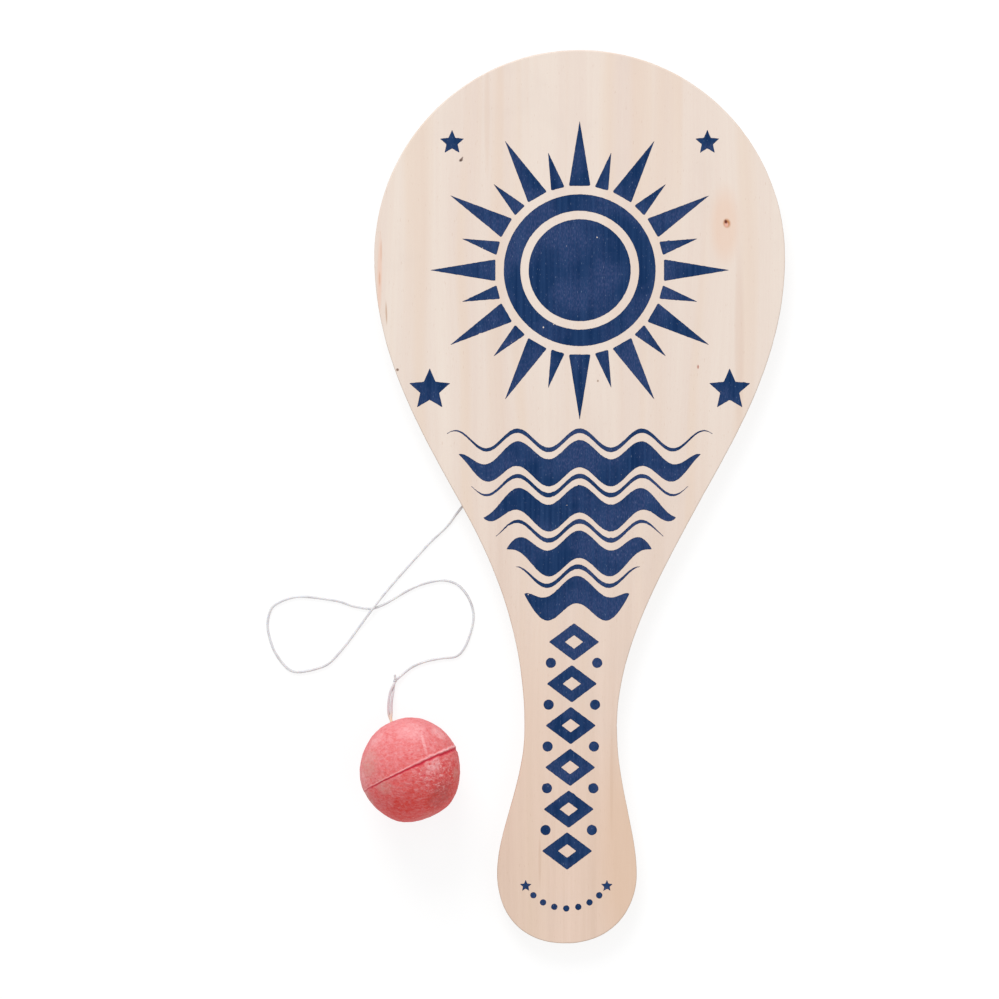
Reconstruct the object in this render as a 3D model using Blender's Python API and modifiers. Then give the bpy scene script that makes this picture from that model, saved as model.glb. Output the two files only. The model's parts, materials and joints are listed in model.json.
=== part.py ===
"""Paddle ball: a plywood paddle with a rubber ball on a stapled elastic cord.

Metres, +Z up. The toy lies on a table at z = 0 with the paddle's printed face up and the blade
towards +Y. The origin is the bottom centre of the box that holds the paddle and the ball.
Plan sizes of the paddle are measured from the end of its butt and from the axis of its blade.
The cord and the ball are placed from the staple, because they hang on it.
"""
import math

import bmesh
import bpy
from mathutils import Vector

MM = 0.001

# Board outline. A lean moves the handle's centre line towards -X.
LENGTH = 0.280
BLADE_WIDTH = 0.1287
BLADE_WIDEST_FROM_TOP = 0.065
SHOULDER_WIDTH = 0.0694
SHOULDER_FROM_END = 0.1332
SHOULDER_SLOPE = 0.54
WAIST_WIDTH = 0.0289
WAIST_FROM_END = 0.0677
WAIST_LEAN = 0.0028
BUTT_WIDTH = 0.0437
BUTT_WIDEST_FROM_END = 0.0219
BUTT_LEAN = 0.0040
END_LEAN = 0.0046

# How far each bend of the outline carries on before it turns.
BLADE_EASE = 0.0331
SHOULDER_EASE = 0.0225
WAIST_EASE_UP = 0.0218
WAIST_EASE_DOWN = 0.0179
BUTT_EASE = 0.0135
QUARTER_ELLIPSE = 4 / 3 * (math.sqrt(2) - 1)
BUTT_FULLNESS = 0.65
OUTLINE_STEPS = 14

# Plies of the board, from the printed face down.
FACE_PLY = 0.0012
CORE_PLY = 0.0024
GLUE_LINE = 0.0001
EDGE_ROUND = 0.0004

# Staple on the back of the blade. Its crown runs across the paddle.
STAPLE_FROM_TOP = 0.075
CROWN_WIDTH = 0.010
STAPLE_THICKNESS = 0.0006
STAPLE_WIDTH = 0.0012
LEG_IN_WOOD = 0.0034
LEG_POINT = 0.0008
CROWN_CORNER = 0.0005
LEG_CLEARANCE = 0.0003

# Elastic cord.
CORD_DIAMETER = 0.0008
PINCH_GAP = 0.0001
END_GAP = 0.0003
PINCHED_LENGTH = 0.0030
ANCHOR_TAIL_LENGTH = 0.005
CROSSING_GAP = 0.0001
CROSSING_HALF_LENGTH = 0.009
STAPLE_RAMP = 0.010
KNOT_RAMP = 0.006
CORD_POINTS = 80
FINE_STEPS = 24
CORD_ROUND_STEPS = 2

# Knots, as multiples of the cord's diameter.
ANCHOR_KNOT_TURNS = (2.9, 2.9, 1.8)
BALL_KNOT_TURNS = (2.1, 2.4, 2.1)
STOP_KNOT_TURNS = (3.2, 3.2, 3.2)
KNOT_TAIL_LENGTH = 0.0018

# Ball, with the rib that its mould left round the middle.
BALL_DIAMETER = 0.0319
BALL_FROM_STAPLE = (-0.0530, -0.1500)
RIB_HEIGHT = 0.0002
RIB_WIDTH = 0.0010
RIB_HEADING = math.radians(25.5)
RIB_TILT = math.radians(4.5)
BALL_STEPS = 48
BALL_RINGS = 24

# Bore for the two strands of the loop: heading from +Y towards -X, and dip below level.
BORE_HEADING = math.radians(23.5)
BORE_DIP = math.radians(35)
BORE_DEPTH = 0.007
BORE_CLEARANCE = 0.0003
STRAND_GAP = 0.0001
STRAND_APPROACH = 0.0065
STRAND_LEAVE = (-0.0024, -0.0037)
STRAND_TWIST_LENGTH = 0.005
STRAND_POINTS = 18

# Ball-end knot, and the cord's route from the staple to it, seen from above, in millimetres.
KNOT_FROM_STAPLE = (-0.0579, -0.1228)
CROSSING_FROM_STAPLE = (-0.0647, -0.1002)
CORD_ROUTE_MM = [
    (-0.3, -6.0), (-2.2, -15.0), (-7.0, -28.0), (-15.0, -42.0), (-25.5, -55.5),
    (-36.9, -68.2), (-47.0, -79.9), (-59.6, -93.4), (-68.4, -105.0), (-73.4, -112.3),
    (-78.5, -117.3), (-82.5, -119.2), (-87.6, -120.1), (-91.0, -119.7), (-93.6, -117.3),
    (-96.1, -113.2), (-98.0, -108.5), (-98.3, -104.9), (-97.6, -101.3), (-96.1, -99.1),
    (-92.0, -97.2), (-86.9, -96.5), (-76.6, -97.9), (-71.5, -99.4), (-67.4, -100.3),
    (-64.7, -100.2), (-61.0, -98.7), (-55.5, -95.6), (-51.1, -93.2), (-46.4, -91.8),
    (-42.4, -91.5), (-38.5, -92.8), (-35.4, -95.6), (-33.7, -99.4), (-33.2, -103.1),
    (-33.9, -107.4), (-36.0, -112.3), (-38.7, -115.4), (-43.5, -116.0), (-48.6, -117.3),
    (-53.0, -118.9),
]

# Colours: red, green, blue, roughness, metallic.
FACE_WOOD = (0.80, 0.64, 0.52, 0.62, 0.0)
CORE_WOOD = (0.66, 0.48, 0.34, 0.70, 0.0)
STEEL_WIRE = (0.55, 0.56, 0.58, 0.35, 1.0)
CORD_WHITE = (0.74, 0.72, 0.71, 0.50, 0.0)
BALL_RED = (0.72, 0.14, 0.14, 0.80, 0.0)

# Heights and places that follow from the sizes above.
CORD_RADIUS = CORD_DIAMETER / 2
BALL_RADIUS = BALL_DIAMETER / 2
PINCH_LIFT = STAPLE_THICKNESS + PINCH_GAP
BACK_FACE_Z = PINCH_LIFT + CORD_DIAMETER + PINCH_GAP
CORE_Z = BACK_FACE_Z + FACE_PLY + GLUE_LINE
FRONT_PLY_Z = CORE_Z + CORE_PLY + GLUE_LINE
STAPLE_Y = LENGTH - STAPLE_FROM_TOP
PIVOT_FROM_STAPLE = Vector((0, -PINCHED_LENGTH / 2 - END_GAP, 0))
STRAND_SPACING = CORD_DIAMETER + STRAND_GAP
BORE_RADIUS = (STRAND_SPACING + CORD_DIAMETER) / 2 + BORE_CLEARANCE
FRAME_SHIFT = Vector((
    -(BALL_FROM_STAPLE[0] - BALL_RADIUS + BLADE_WIDTH / 2) / 2,
    -LENGTH / 2,
    0,
))


def from_staple(plan, height=0.0):
    """A place in the paddle's frame, given from the staple and the table."""
    return Vector((plan[0], STAPLE_Y + plan[1], height))


def knot_size(turns):
    return Vector(turns) * CORD_DIAMETER


PIVOT = from_staple(PIVOT_FROM_STAPLE)
KNOT_CENTRE = from_staple(KNOT_FROM_STAPLE, knot_size(BALL_KNOT_TURNS).z / 2)
BALL_CENTRE = from_staple(BALL_FROM_STAPLE, BALL_RADIUS + RIB_HEIGHT)
BORE_OUT = Vector((
    -math.sin(BORE_HEADING) * math.cos(BORE_DIP),
    math.cos(BORE_HEADING) * math.cos(BORE_DIP),
    -math.sin(BORE_DIP),
))


def clear_scene():
    for item in list(bpy.data.objects):
        bpy.data.objects.remove(item, do_unlink=True)


def new_collection(name):
    collection = bpy.data.collections.new(name)
    bpy.context.scene.collection.children.link(collection)
    return collection


def finish_of(name, look):
    """A plain material: colour, roughness and metallic value."""
    material = bpy.data.materials.new(name)
    material.use_nodes = True
    shader = material.node_tree.nodes["Principled BSDF"]
    shader.inputs["Base Color"].default_value = (*look[:3], 1.0)
    shader.inputs["Roughness"].default_value = look[3]
    shader.inputs["Metallic"].default_value = look[4]
    material.diffuse_color = (*look[:3], 1.0)
    return material


def empty_at(name, collection, place, parent=None, parent_place=None):
    """An empty on a joint's axis, at a place given in the paddle's frame."""
    empty = bpy.data.objects.new(name, None)
    empty.empty_display_size = 0.01
    collection.objects.link(empty)
    empty.location = place
    if parent:
        empty.parent = parent
        empty.location = place - parent_place
    return empty


def hang_on(item, empty, empty_place, place):
    """Parent a piece to its joint's empty and put its origin at a place in the paddle's frame."""
    item.parent = empty
    item.location = place - empty_place


def mesh_from_curve(curve_object, name, collection):
    """A welded mesh object that takes the curve object's place."""
    collection.objects.link(curve_object)
    bpy.context.view_layer.update()
    evaluated = curve_object.evaluated_get(bpy.context.evaluated_depsgraph_get())
    mesh = bpy.data.meshes.new_from_object(evaluated)
    mesh.transform(curve_object.matrix_world)
    bpy.data.objects.remove(curve_object, do_unlink=True)
    welded = bmesh.new()
    welded.from_mesh(mesh)
    bmesh.ops.remove_doubles(welded, verts=welded.verts, dist=0.00001)
    bmesh.ops.recalc_face_normals(welded, faces=welded.faces)
    welded.to_mesh(mesh)
    welded.free()
    mesh.name = name
    item = bpy.data.objects.new(name, mesh)
    collection.objects.link(item)
    return item


def outline_knots():
    """Knots of the board's +X edge, from the top of the blade to the end of the butt.

    Each is its half width, y, lean, and the arms to its handles before and after it.
    """
    widest_y = LENGTH - BLADE_WIDEST_FROM_TOP
    half = BLADE_WIDTH / 2
    slope = Vector((SHOULDER_SLOPE, 1)) * SHOULDER_EASE
    return [
        (0, LENGTH, 0, (-half * QUARTER_ELLIPSE, 0), (half * QUARTER_ELLIPSE, 0)),
        (half, widest_y, 0, (0, BLADE_WIDEST_FROM_TOP * QUARTER_ELLIPSE), (0, -BLADE_EASE)),
        (SHOULDER_WIDTH / 2, SHOULDER_FROM_END, 0, slope, -slope),
        (WAIST_WIDTH / 2, WAIST_FROM_END, WAIST_LEAN, (0, WAIST_EASE_UP), (0, -WAIST_EASE_DOWN)),
        (BUTT_WIDTH / 2, BUTT_WIDEST_FROM_END, BUTT_LEAN, (0, BUTT_EASE),
         (0, -BUTT_WIDEST_FROM_END * QUARTER_ELLIPSE)),
        (0, 0, END_LEAN, (BUTT_WIDTH / 2 * BUTT_FULLNESS, 0),
         (-BUTT_WIDTH / 2 * BUTT_FULLNESS, 0)),
    ]


def board_curve(thickness):
    """The board's outline as a filled curve, half its thickness each side of z = 0."""
    right = outline_knots()
    points = [(x - lean, y, up, down) for x, y, lean, up, down in right]
    for x, y, lean, up, down in reversed(right[1:-1]):
        points.append((-x - lean, y, (-down[0], down[1]), (-up[0], up[1])))
    curve = bpy.data.curves.new("board_outline", "CURVE")
    curve.dimensions = "2D"
    curve.fill_mode = "BOTH"
    curve.extrude = thickness / 2
    curve.resolution_u = OUTLINE_STEPS
    spline = curve.splines.new("BEZIER")
    spline.bezier_points.add(len(points) - 1)
    spline.use_cyclic_u = True
    for knot, (x, y, before, after) in zip(spline.bezier_points, points):
        knot.co = (x, y, 0)
        knot.handle_left_type = "FREE"
        knot.handle_right_type = "FREE"
        knot.handle_left = (x + before[0], y + before[1], 0)
        knot.handle_right = (x + after[0], y + after[1], 0)
    return bpy.data.objects.new("board_outline", curve)


def veneer(name, collection, low_z, thickness, look, sanded_side):
    """One ply of the board. Its rim on the sanded side, +1, -1 or none, is rounded."""
    item = mesh_from_curve(board_curve(thickness), name, collection)
    shape = bmesh.new()
    shape.from_mesh(item.data)
    for side in (1, -1):
        cap = [face for face in shape.faces if face.normal.z * side > 0.5]
        bmesh.ops.dissolve_faces(shape, faces=cap, use_verts=False)
    weight = shape.edges.layers.float.new("bevel_weight_edge")
    for edge in shape.edges:
        heights = [vert.co.z * sanded_side for vert in edge.verts]
        edge[weight] = 1.0 if min(heights) > thickness / 4 else 0.0
    bmesh.ops.translate(shape, verts=shape.verts, vec=(0, 0, low_z + thickness / 2))
    shape.to_mesh(item.data)
    shape.free()
    if sanded_side:
        rim = item.modifiers.new("sanded_rim", "BEVEL")
        rim.width = EDGE_ROUND
        rim.segments = 3
        rim.limit_method = "WEIGHT"
    item.data.materials.append(finish_of(name, look))
    return item


def leg_pocket(name, collection, side):
    """A cutter for the hole round one leg of the staple."""
    size = Vector((STAPLE_THICKNESS, STAPLE_WIDTH, LEG_IN_WOOD)) + Vector((2, 2, 2)) * LEG_CLEARANCE
    pocket = bmesh.new()
    bmesh.ops.create_cube(pocket, size=1)
    bmesh.ops.scale(pocket, vec=size, verts=pocket.verts)
    leg_x = side * (CROWN_WIDTH - STAPLE_THICKNESS) / 2
    centre = Vector((leg_x, STAPLE_Y, BACK_FACE_Z + LEG_IN_WOOD / 2))
    bmesh.ops.translate(pocket, vec=centre, verts=pocket.verts)
    mesh = bpy.data.meshes.new(name)
    pocket.to_mesh(mesh)
    pocket.free()
    cutter = bpy.data.objects.new(name, mesh)
    collection.objects.link(cutter)
    cutter.hide_render = True
    cutter.display_type = "WIRE"
    return cutter


def cut_with(item, cutter):
    cut = item.modifiers.new("cut_" + cutter.name, "BOOLEAN")
    cut.operation = "DIFFERENCE"
    cut.solver = "EXACT"
    cut.object = cutter


def staple(name, collection):
    """A flat-wire staple: crown under the blade, two legs with slanted points in the wood."""
    half = CROWN_WIDTH / 2
    inner = half - STAPLE_THICKNESS
    tip_z = BACK_FACE_Z + LEG_IN_WOOD
    corner = CROWN_CORNER
    right = [
        (half - corner, 0), (half - corner / 4, corner / 4), (half, corner),
        (half, tip_z - LEG_POINT), (inner, tip_z), (inner, STAPLE_THICKNESS),
    ]
    outline = right + [(-x, z) for x, z in reversed(right)]
    curve = bpy.data.curves.new(name, "CURVE")
    curve.dimensions = "2D"
    curve.fill_mode = "BOTH"
    curve.extrude = STAPLE_WIDTH / 2
    spline = curve.splines.new("POLY")
    spline.points.add(len(outline) - 1)
    spline.use_cyclic_u = True
    for point, (x, z) in zip(spline.points, outline):
        point.co = (x, z, 0, 1)
    flat = bpy.data.objects.new(name, curve)
    flat.rotation_euler = (math.radians(90), 0, 0)
    flat.location = (0, STAPLE_Y, 0)
    item = mesh_from_curve(flat, name, collection)
    item.data.transform(item.matrix_world)
    item.data.materials.append(finish_of(name, STEEL_WIRE))
    return item


def spread_points(route, count):
    """Points at even steps along a smooth curve through the route."""
    ends = [route[0] * 2 - route[1]] + route + [route[-1] * 2 - route[-2]]
    fine = []
    for before, start, end, after in zip(ends, ends[1:], ends[2:], ends[3:]):
        for step in range(FINE_STEPS):
            t = step / FINE_STEPS
            turn = (start * 2 + (end - before) * t
                    + (before * 2 - start * 5 + end * 4 - after) * t ** 2
                    + (start * 3 - before - end * 3 + after) * t ** 3)
            fine.append(turn / 2)
    fine.append(route[-1])
    lengths = [0.0]
    for start, end in zip(fine, fine[1:]):
        lengths.append(lengths[-1] + (end - start).length)
    points = []
    place = 0
    for number in range(count):
        wanted = lengths[-1] * number / (count - 1)
        while place < len(fine) - 2 and lengths[place + 1] < wanted:
            place += 1
        share = (wanted - lengths[place]) / (lengths[place + 1] - lengths[place])
        points.append(fine[place].lerp(fine[place + 1], min(share, 1.0)))
    return points, lengths[-1]


def ease(share):
    """0 to 1, level at both ends."""
    share = min(max(share, 0.0), 1.0)
    return share * share * (3 - 2 * share)


def cord_points():
    """The free cord from the staple to the ball-end knot, laid on the table.

    It comes down from under the staple's crown, hops over itself where its first run crosses the
    loop, and rises a little to meet the knot.
    """
    knot_side = knot_size(BALL_KNOT_TURNS).x / 2 + END_GAP
    route = [from_staple(PIVOT_FROM_STAPLE)]
    route += [from_staple((x * MM, y * MM)) for x, y in CORD_ROUTE_MM]
    arriving = (KNOT_CENTRE - route[-1]) * Vector((1, 1, 0))
    arriving.normalize()
    route.append(from_staple(KNOT_FROM_STAPLE) - arriving * knot_side)
    points, length = spread_points(route, CORD_POINTS)
    crossing = from_staple(CROSSING_FROM_STAPLE)
    first_run = points[:CORD_POINTS // 2]
    over = min(range(len(first_run)), key=lambda n: (first_run[n] - crossing).length)
    step = length / (CORD_POINTS - 1)
    for number, point in enumerate(points):
        along = number * step
        from_crossing = abs(number - over) * step
        lift = PINCH_LIFT * ease(1 - along / STAPLE_RAMP)
        lift += (CORD_DIAMETER + CROSSING_GAP) * ease(1 - from_crossing / CROSSING_HALF_LENGTH)
        lift += (KNOT_CENTRE.z - CORD_RADIUS) * ease(1 - (length - along) / KNOT_RAMP)
        point.z = CORD_RADIUS + lift
    return points, length


def tube(name, collection, points, origin, diameter=CORD_DIAMETER):
    """A round cord along the points, with closed ends, its origin at the place given."""
    curve = bpy.data.curves.new(name, "CURVE")
    curve.dimensions = "3D"
    curve.bevel_depth = diameter / 2
    curve.bevel_resolution = CORD_ROUND_STEPS
    curve.use_fill_caps = True
    spline = curve.splines.new("POLY")
    spline.points.add(len(points) - 1)
    for knot, point in zip(spline.points, points):
        knot.co = (*(point - origin), 1)
    item = bpy.data.objects.new(name, curve)
    collection.objects.link(item)
    curve.materials.append(finish_of(name, CORD_WHITE))
    return item


def knot(name, collection, turns):
    """A pulled-tight knot as a rounded lump."""
    shape = bmesh.new()
    bmesh.ops.create_uvsphere(shape, u_segments=20, v_segments=12, radius=0.5)
    bmesh.ops.scale(shape, vec=knot_size(turns), verts=shape.verts)
    mesh = bpy.data.meshes.new(name)
    shape.to_mesh(mesh)
    shape.free()
    mesh.shade_smooth()
    mesh.materials.append(finish_of(name, CORD_WHITE))
    item = bpy.data.objects.new(name, mesh)
    collection.objects.link(item)
    return item


def strand_points(side):
    """One strand of the doubled cord, from the ball-end knot into the ball's bore.

    The strands leave the knot one above the other, and lie side by side by the time they
    reach the ball.
    """
    mouth = BALL_CENTRE + BORE_OUT * BALL_RADIUS
    leave = Vector((STRAND_LEAVE[0], STRAND_LEAVE[1], 0))
    start = KNOT_CENTRE + leave.normalized() * (knot_size(BALL_KNOT_TURNS).y / 2 + END_GAP)
    pull = [start, start + leave, mouth + BORE_OUT * STRAND_APPROACH, mouth]
    centre_line = []
    for step in range(STRAND_POINTS):
        t = step / (STRAND_POINTS - 1)
        shares = ((1 - t) ** 3, 3 * (1 - t) ** 2 * t, 3 * (1 - t) * t ** 2, t ** 3)
        centre_line.append(sum((place * share for place, share in zip(pull, shares)), Vector()))
    centre_line.append(mouth - BORE_OUT * (BORE_DEPTH - END_GAP))
    points = []
    along = 0.0
    for number, place in enumerate(centre_line):
        ahead = centre_line[min(number + 1, len(centre_line) - 1)]
        behind = centre_line[max(number - 1, 0)]
        run = (ahead - behind).normalized()
        level = run.cross(Vector((0, 0, 1))).normalized()
        upright = level.cross(run)
        along += (place - behind).length
        turn = math.radians(90) * (1 - ease(along / STRAND_TWIST_LENGTH))
        apart = level * math.cos(turn) + upright * math.sin(turn)
        points.append(place + apart * (side * STRAND_SPACING / 2))
    return points


def turned(name, collection, profile, steps):
    """A solid turned round Z from a profile that runs down its outer side, in (x, z)."""
    mesh = bpy.data.meshes.new(name)
    mesh.from_pydata([(x, 0, z) for x, z in profile], [
        (number, number + 1) for number in range(len(profile) - 1)
    ], [])
    item = bpy.data.objects.new(name, mesh)
    collection.objects.link(item)
    screw = item.modifiers.new("turn", "SCREW")
    screw.steps = steps
    screw.render_steps = steps
    screw.use_merge_vertices = True
    screw.merge_threshold = 0.00005
    screw.use_smooth_shade = True
    return item


def ball_profile():
    """A half circle from pole to pole, with the mould's rib at its middle."""
    rib = RIB_WIDTH / 2 / BALL_RADIUS
    profile = []
    for ring in range(BALL_RINGS + 1):
        angle = math.pi * (0.5 - ring / BALL_RINGS)
        if abs(angle) > rib * 1.2:
            profile.append((BALL_RADIUS * math.cos(angle), BALL_RADIUS * math.sin(angle)))
        else:
            for share, height in ((1, 0), (0.4, 1), (-0.4, 1), (-1, 0)):
                radius = BALL_RADIUS + RIB_HEIGHT * height
                place = rib * share
                profile.append((radius * math.cos(place), radius * math.sin(place)))
    profile[0] = (0, BALL_RADIUS)
    profile[-1] = (0, -BALL_RADIUS)
    return profile


def rubber_ball(name, parts, cutters):
    """The ball round its own centre, its rib tilted, with a bore and a pocket for the loop."""
    ball = turned(name, parts, ball_profile(), BALL_STEPS)
    along = Vector((math.cos(RIB_HEADING), math.sin(RIB_HEADING), 0))
    across = Vector((-math.sin(RIB_HEADING), math.cos(RIB_HEADING), 0))
    lifted = across * math.sin(RIB_TILT) + Vector((0, 0, math.cos(RIB_TILT)))
    ball.rotation_euler = along.cross(lifted).to_track_quat("Z", "Y").to_euler()
    ball.data.materials.append(finish_of(name, BALL_RED))
    stop = knot_size(STOP_KNOT_TURNS)
    pocket_radius = stop.x / 2 + BORE_CLEARANCE
    pocket_end = -BORE_DEPTH - stop.z - 2 * BORE_CLEARANCE
    corner = pocket_radius / 3
    bore = turned("ball_bore", cutters, [
        (0, BORE_DEPTH), (BORE_RADIUS, BORE_DEPTH), (BORE_RADIUS, -BORE_DEPTH),
        (pocket_radius - corner, -BORE_DEPTH), (pocket_radius, -BORE_DEPTH - corner),
        (pocket_radius, pocket_end + corner), (pocket_radius - corner, pocket_end),
        (0, pocket_end),
    ], 20)
    bore.hide_render = True
    bore.display_type = "WIRE"
    bore.rotation_euler = BORE_OUT.to_track_quat("Z", "Y").to_euler()
    cut_with(ball, bore)
    return ball, bore


def build():
    clear_scene()
    parts = new_collection("paddle_ball")
    cutters = new_collection("cutters")
    here = Vector((0, 0, 0))
    paddle = empty_at("paddle_frame", parts, FRAME_SHIFT)
    swing = empty_at("cord_swing", parts, PIVOT, paddle, here)
    pull = empty_at("ball_pull", parts, KNOT_CENTRE, swing, PIVOT)
    twist = empty_at("ball_twist", parts, BALL_CENTRE, pull, KNOT_CENTRE)

    plies = [
        veneer("back_veneer", parts, BACK_FACE_Z, FACE_PLY, FACE_WOOD, -1),
        veneer("core_veneer", parts, CORE_Z, CORE_PLY, CORE_WOOD, 0),
        veneer("front_veneer", parts, FRONT_PLY_Z, FACE_PLY, FACE_WOOD, 1),
    ]
    pockets = [leg_pocket("leg_pocket_" + end, cutters, side)
               for end, side in (("left", -1), ("right", 1))]
    for ply in plies:
        hang_on(ply, paddle, here, here)
        for pocket in pockets:
            cut_with(ply, pocket)
    for pocket in pockets:
        hang_on(pocket, paddle, here, here)
    hang_on(staple("staple", parts), paddle, here, here)

    pinch_z = PINCH_LIFT + CORD_RADIUS
    pinched = [from_staple((0, side * PINCHED_LENGTH / 2), pinch_z) for side in (1, -1)]
    hang_on(tube("pinched_cord", parts, pinched, here), paddle, here, here)
    anchor = knot_size(ANCHOR_KNOT_TURNS)
    anchor_y = PINCHED_LENGTH / 2 + END_GAP + anchor.y / 2
    anchor_z = anchor.z / 2 + PINCH_GAP
    hang_on(knot("anchor_knot", parts, ANCHOR_KNOT_TURNS), paddle, here,
            from_staple((0, anchor_y), anchor_z))
    tail_start = anchor_y + anchor.y / 2 + END_GAP
    tail = [from_staple((0, tail_start), anchor_z),
            from_staple((0.0006, tail_start + ANCHOR_TAIL_LENGTH / 2), CORD_RADIUS + PINCH_GAP),
            from_staple((0.0018, tail_start + ANCHOR_TAIL_LENGTH), CORD_RADIUS)]
    hang_on(tube("anchor_tail", parts, tail, here), paddle, here, here)

    route, length = cord_points()
    print("free cord", round(length / MM, 1), "mm")
    hang_on(tube("elastic_cord", parts, route, PIVOT), swing, PIVOT, PIVOT)

    hang_on(knot("ball_knot", parts, BALL_KNOT_TURNS), pull, KNOT_CENTRE, KNOT_CENTRE)
    size = knot_size(BALL_KNOT_TURNS)
    tail_from = KNOT_CENTRE + Vector((-0.0001, size.y / 2 + END_GAP, 0.0002))
    tail_to = tail_from + Vector((-0.0001, KNOT_TAIL_LENGTH, KNOT_TAIL_LENGTH / 3))
    hang_on(tube("ball_knot_tail", parts, [tail_from, tail_to], KNOT_CENTRE),
            pull, KNOT_CENTRE, KNOT_CENTRE)
    for end, side in (("left", 1), ("right", -1)):
        strand = tube("loop_strand_" + end, parts, strand_points(side), KNOT_CENTRE)
        hang_on(strand, pull, KNOT_CENTRE, KNOT_CENTRE)
    stop = knot_size(STOP_KNOT_TURNS)
    mouth = BALL_CENTRE + BORE_OUT * BALL_RADIUS
    stop_centre = mouth - BORE_OUT * (BORE_DEPTH + BORE_CLEARANCE + stop.z / 2)
    hang_on(knot("stop_knot", parts, STOP_KNOT_TURNS), pull, KNOT_CENTRE, stop_centre)

    ball, bore = rubber_ball("rubber_ball", parts, cutters)
    hang_on(ball, twist, BALL_CENTRE, BALL_CENTRE)
    hang_on(bore, twist, BALL_CENTRE, mouth)


build()
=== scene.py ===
"""Paddle ball: a screen-printed plywood paddle with a rubber ball on a stapled elastic cord.

Metres, +Z up, printed face up and blade towards +Y. Plan places on the board are given from the
blade's axis and from the end of the butt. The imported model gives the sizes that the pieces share.
"""
import json
import math

import bmesh
import bpy
from bpy.props import FloatProperty, FloatVectorProperty, PointerProperty
from bpy.types import Node, NodeSocket, Operator, Panel, PropertyGroup
from mathutils import Matrix, Vector, geometry, noise
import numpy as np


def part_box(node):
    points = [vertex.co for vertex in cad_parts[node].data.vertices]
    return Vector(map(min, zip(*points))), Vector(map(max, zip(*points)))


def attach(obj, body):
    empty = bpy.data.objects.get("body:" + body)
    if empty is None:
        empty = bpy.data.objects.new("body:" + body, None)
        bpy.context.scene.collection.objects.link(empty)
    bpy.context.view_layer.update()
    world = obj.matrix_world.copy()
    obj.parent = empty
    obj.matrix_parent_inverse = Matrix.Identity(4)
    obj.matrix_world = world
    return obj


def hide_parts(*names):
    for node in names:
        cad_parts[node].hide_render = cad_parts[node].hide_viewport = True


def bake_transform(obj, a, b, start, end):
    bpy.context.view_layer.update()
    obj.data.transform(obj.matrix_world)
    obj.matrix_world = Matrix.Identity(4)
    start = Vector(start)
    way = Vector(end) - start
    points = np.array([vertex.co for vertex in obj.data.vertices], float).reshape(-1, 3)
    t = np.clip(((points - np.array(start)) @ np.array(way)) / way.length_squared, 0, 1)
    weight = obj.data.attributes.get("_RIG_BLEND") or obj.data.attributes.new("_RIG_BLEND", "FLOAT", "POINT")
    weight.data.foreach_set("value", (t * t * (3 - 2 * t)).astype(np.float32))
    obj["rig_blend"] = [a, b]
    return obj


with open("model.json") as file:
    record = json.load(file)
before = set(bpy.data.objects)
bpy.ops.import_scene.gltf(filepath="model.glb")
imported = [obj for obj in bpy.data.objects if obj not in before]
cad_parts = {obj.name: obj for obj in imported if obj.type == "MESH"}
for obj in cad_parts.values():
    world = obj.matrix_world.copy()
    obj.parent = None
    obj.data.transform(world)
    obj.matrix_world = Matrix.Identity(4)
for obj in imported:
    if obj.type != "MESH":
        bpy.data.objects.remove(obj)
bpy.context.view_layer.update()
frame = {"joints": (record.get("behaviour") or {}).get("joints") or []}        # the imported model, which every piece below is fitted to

bl_info = {
    "name": "Paddle Ball",
    "version": (1, 0, 0),
    "blender": (4, 5, 0),
    "location": "View3D > Sidebar > Paddle Ball",
    "description": "A wooden paddle with a rubber ball on an elastic cord",
    "category": "Add Mesh",
}

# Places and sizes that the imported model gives.
FACE_LOW, FACE_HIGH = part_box("front_veneer")
CORE_LOW, CORE_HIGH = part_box("core_veneer")
BACK_LOW, BACK_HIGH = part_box("back_veneer")
STAPLE_LOW, STAPLE_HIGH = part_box("staple")
PINCH_LOW, PINCH_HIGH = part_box("pinched_cord")
ANCHOR_LOW, ANCHOR_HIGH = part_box("anchor_knot")
TAIL_LOW, TAIL_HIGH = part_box("anchor_tail")
KNOT_LOW, KNOT_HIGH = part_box("ball_knot")
KNOT_TAIL_LOW, KNOT_TAIL_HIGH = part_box("ball_knot_tail")
STOP_LOW, STOP_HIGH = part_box("stop_knot")
BALL_LOW, BALL_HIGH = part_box("rubber_ball")
JOINTS = {joint["name"]: joint for joint in frame["joints"]}
PIVOT = Vector(JOINTS["cord_swing"]["pos_m"])
BALL_CENTRE = Vector(JOINTS["ball_twist"]["pos_m"])
BALL_RADIUS = (BALL_HIGH.x - BALL_LOW.x) / 2
BORE_OUT = Vector(JOINTS["ball_twist"]["axis"]).normalized()
BORE_MOUTH = BALL_CENTRE + BORE_OUT * BALL_RADIUS
BOARD_ZERO = Vector(((FACE_LOW.x + FACE_HIGH.x) / 2, FACE_LOW.y, 0))
BOARD_LENGTH = FACE_HIGH.y - FACE_LOW.y
BLADE_WIDTH = FACE_HIGH.x - FACE_LOW.x
STAPLE_CENTRE = (STAPLE_LOW + STAPLE_HIGH) / 2
STAPLE_PLAN = Vector((STAPLE_CENTRE.x, STAPLE_CENTRE.y, 0))
KNOT_CENTRE = (KNOT_LOW + KNOT_HIGH) / 2

UP = Vector((0, 0, 1))
IN_PLAN = Vector((1, 1, 0))      # times this, a place is taken down to the table

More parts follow.
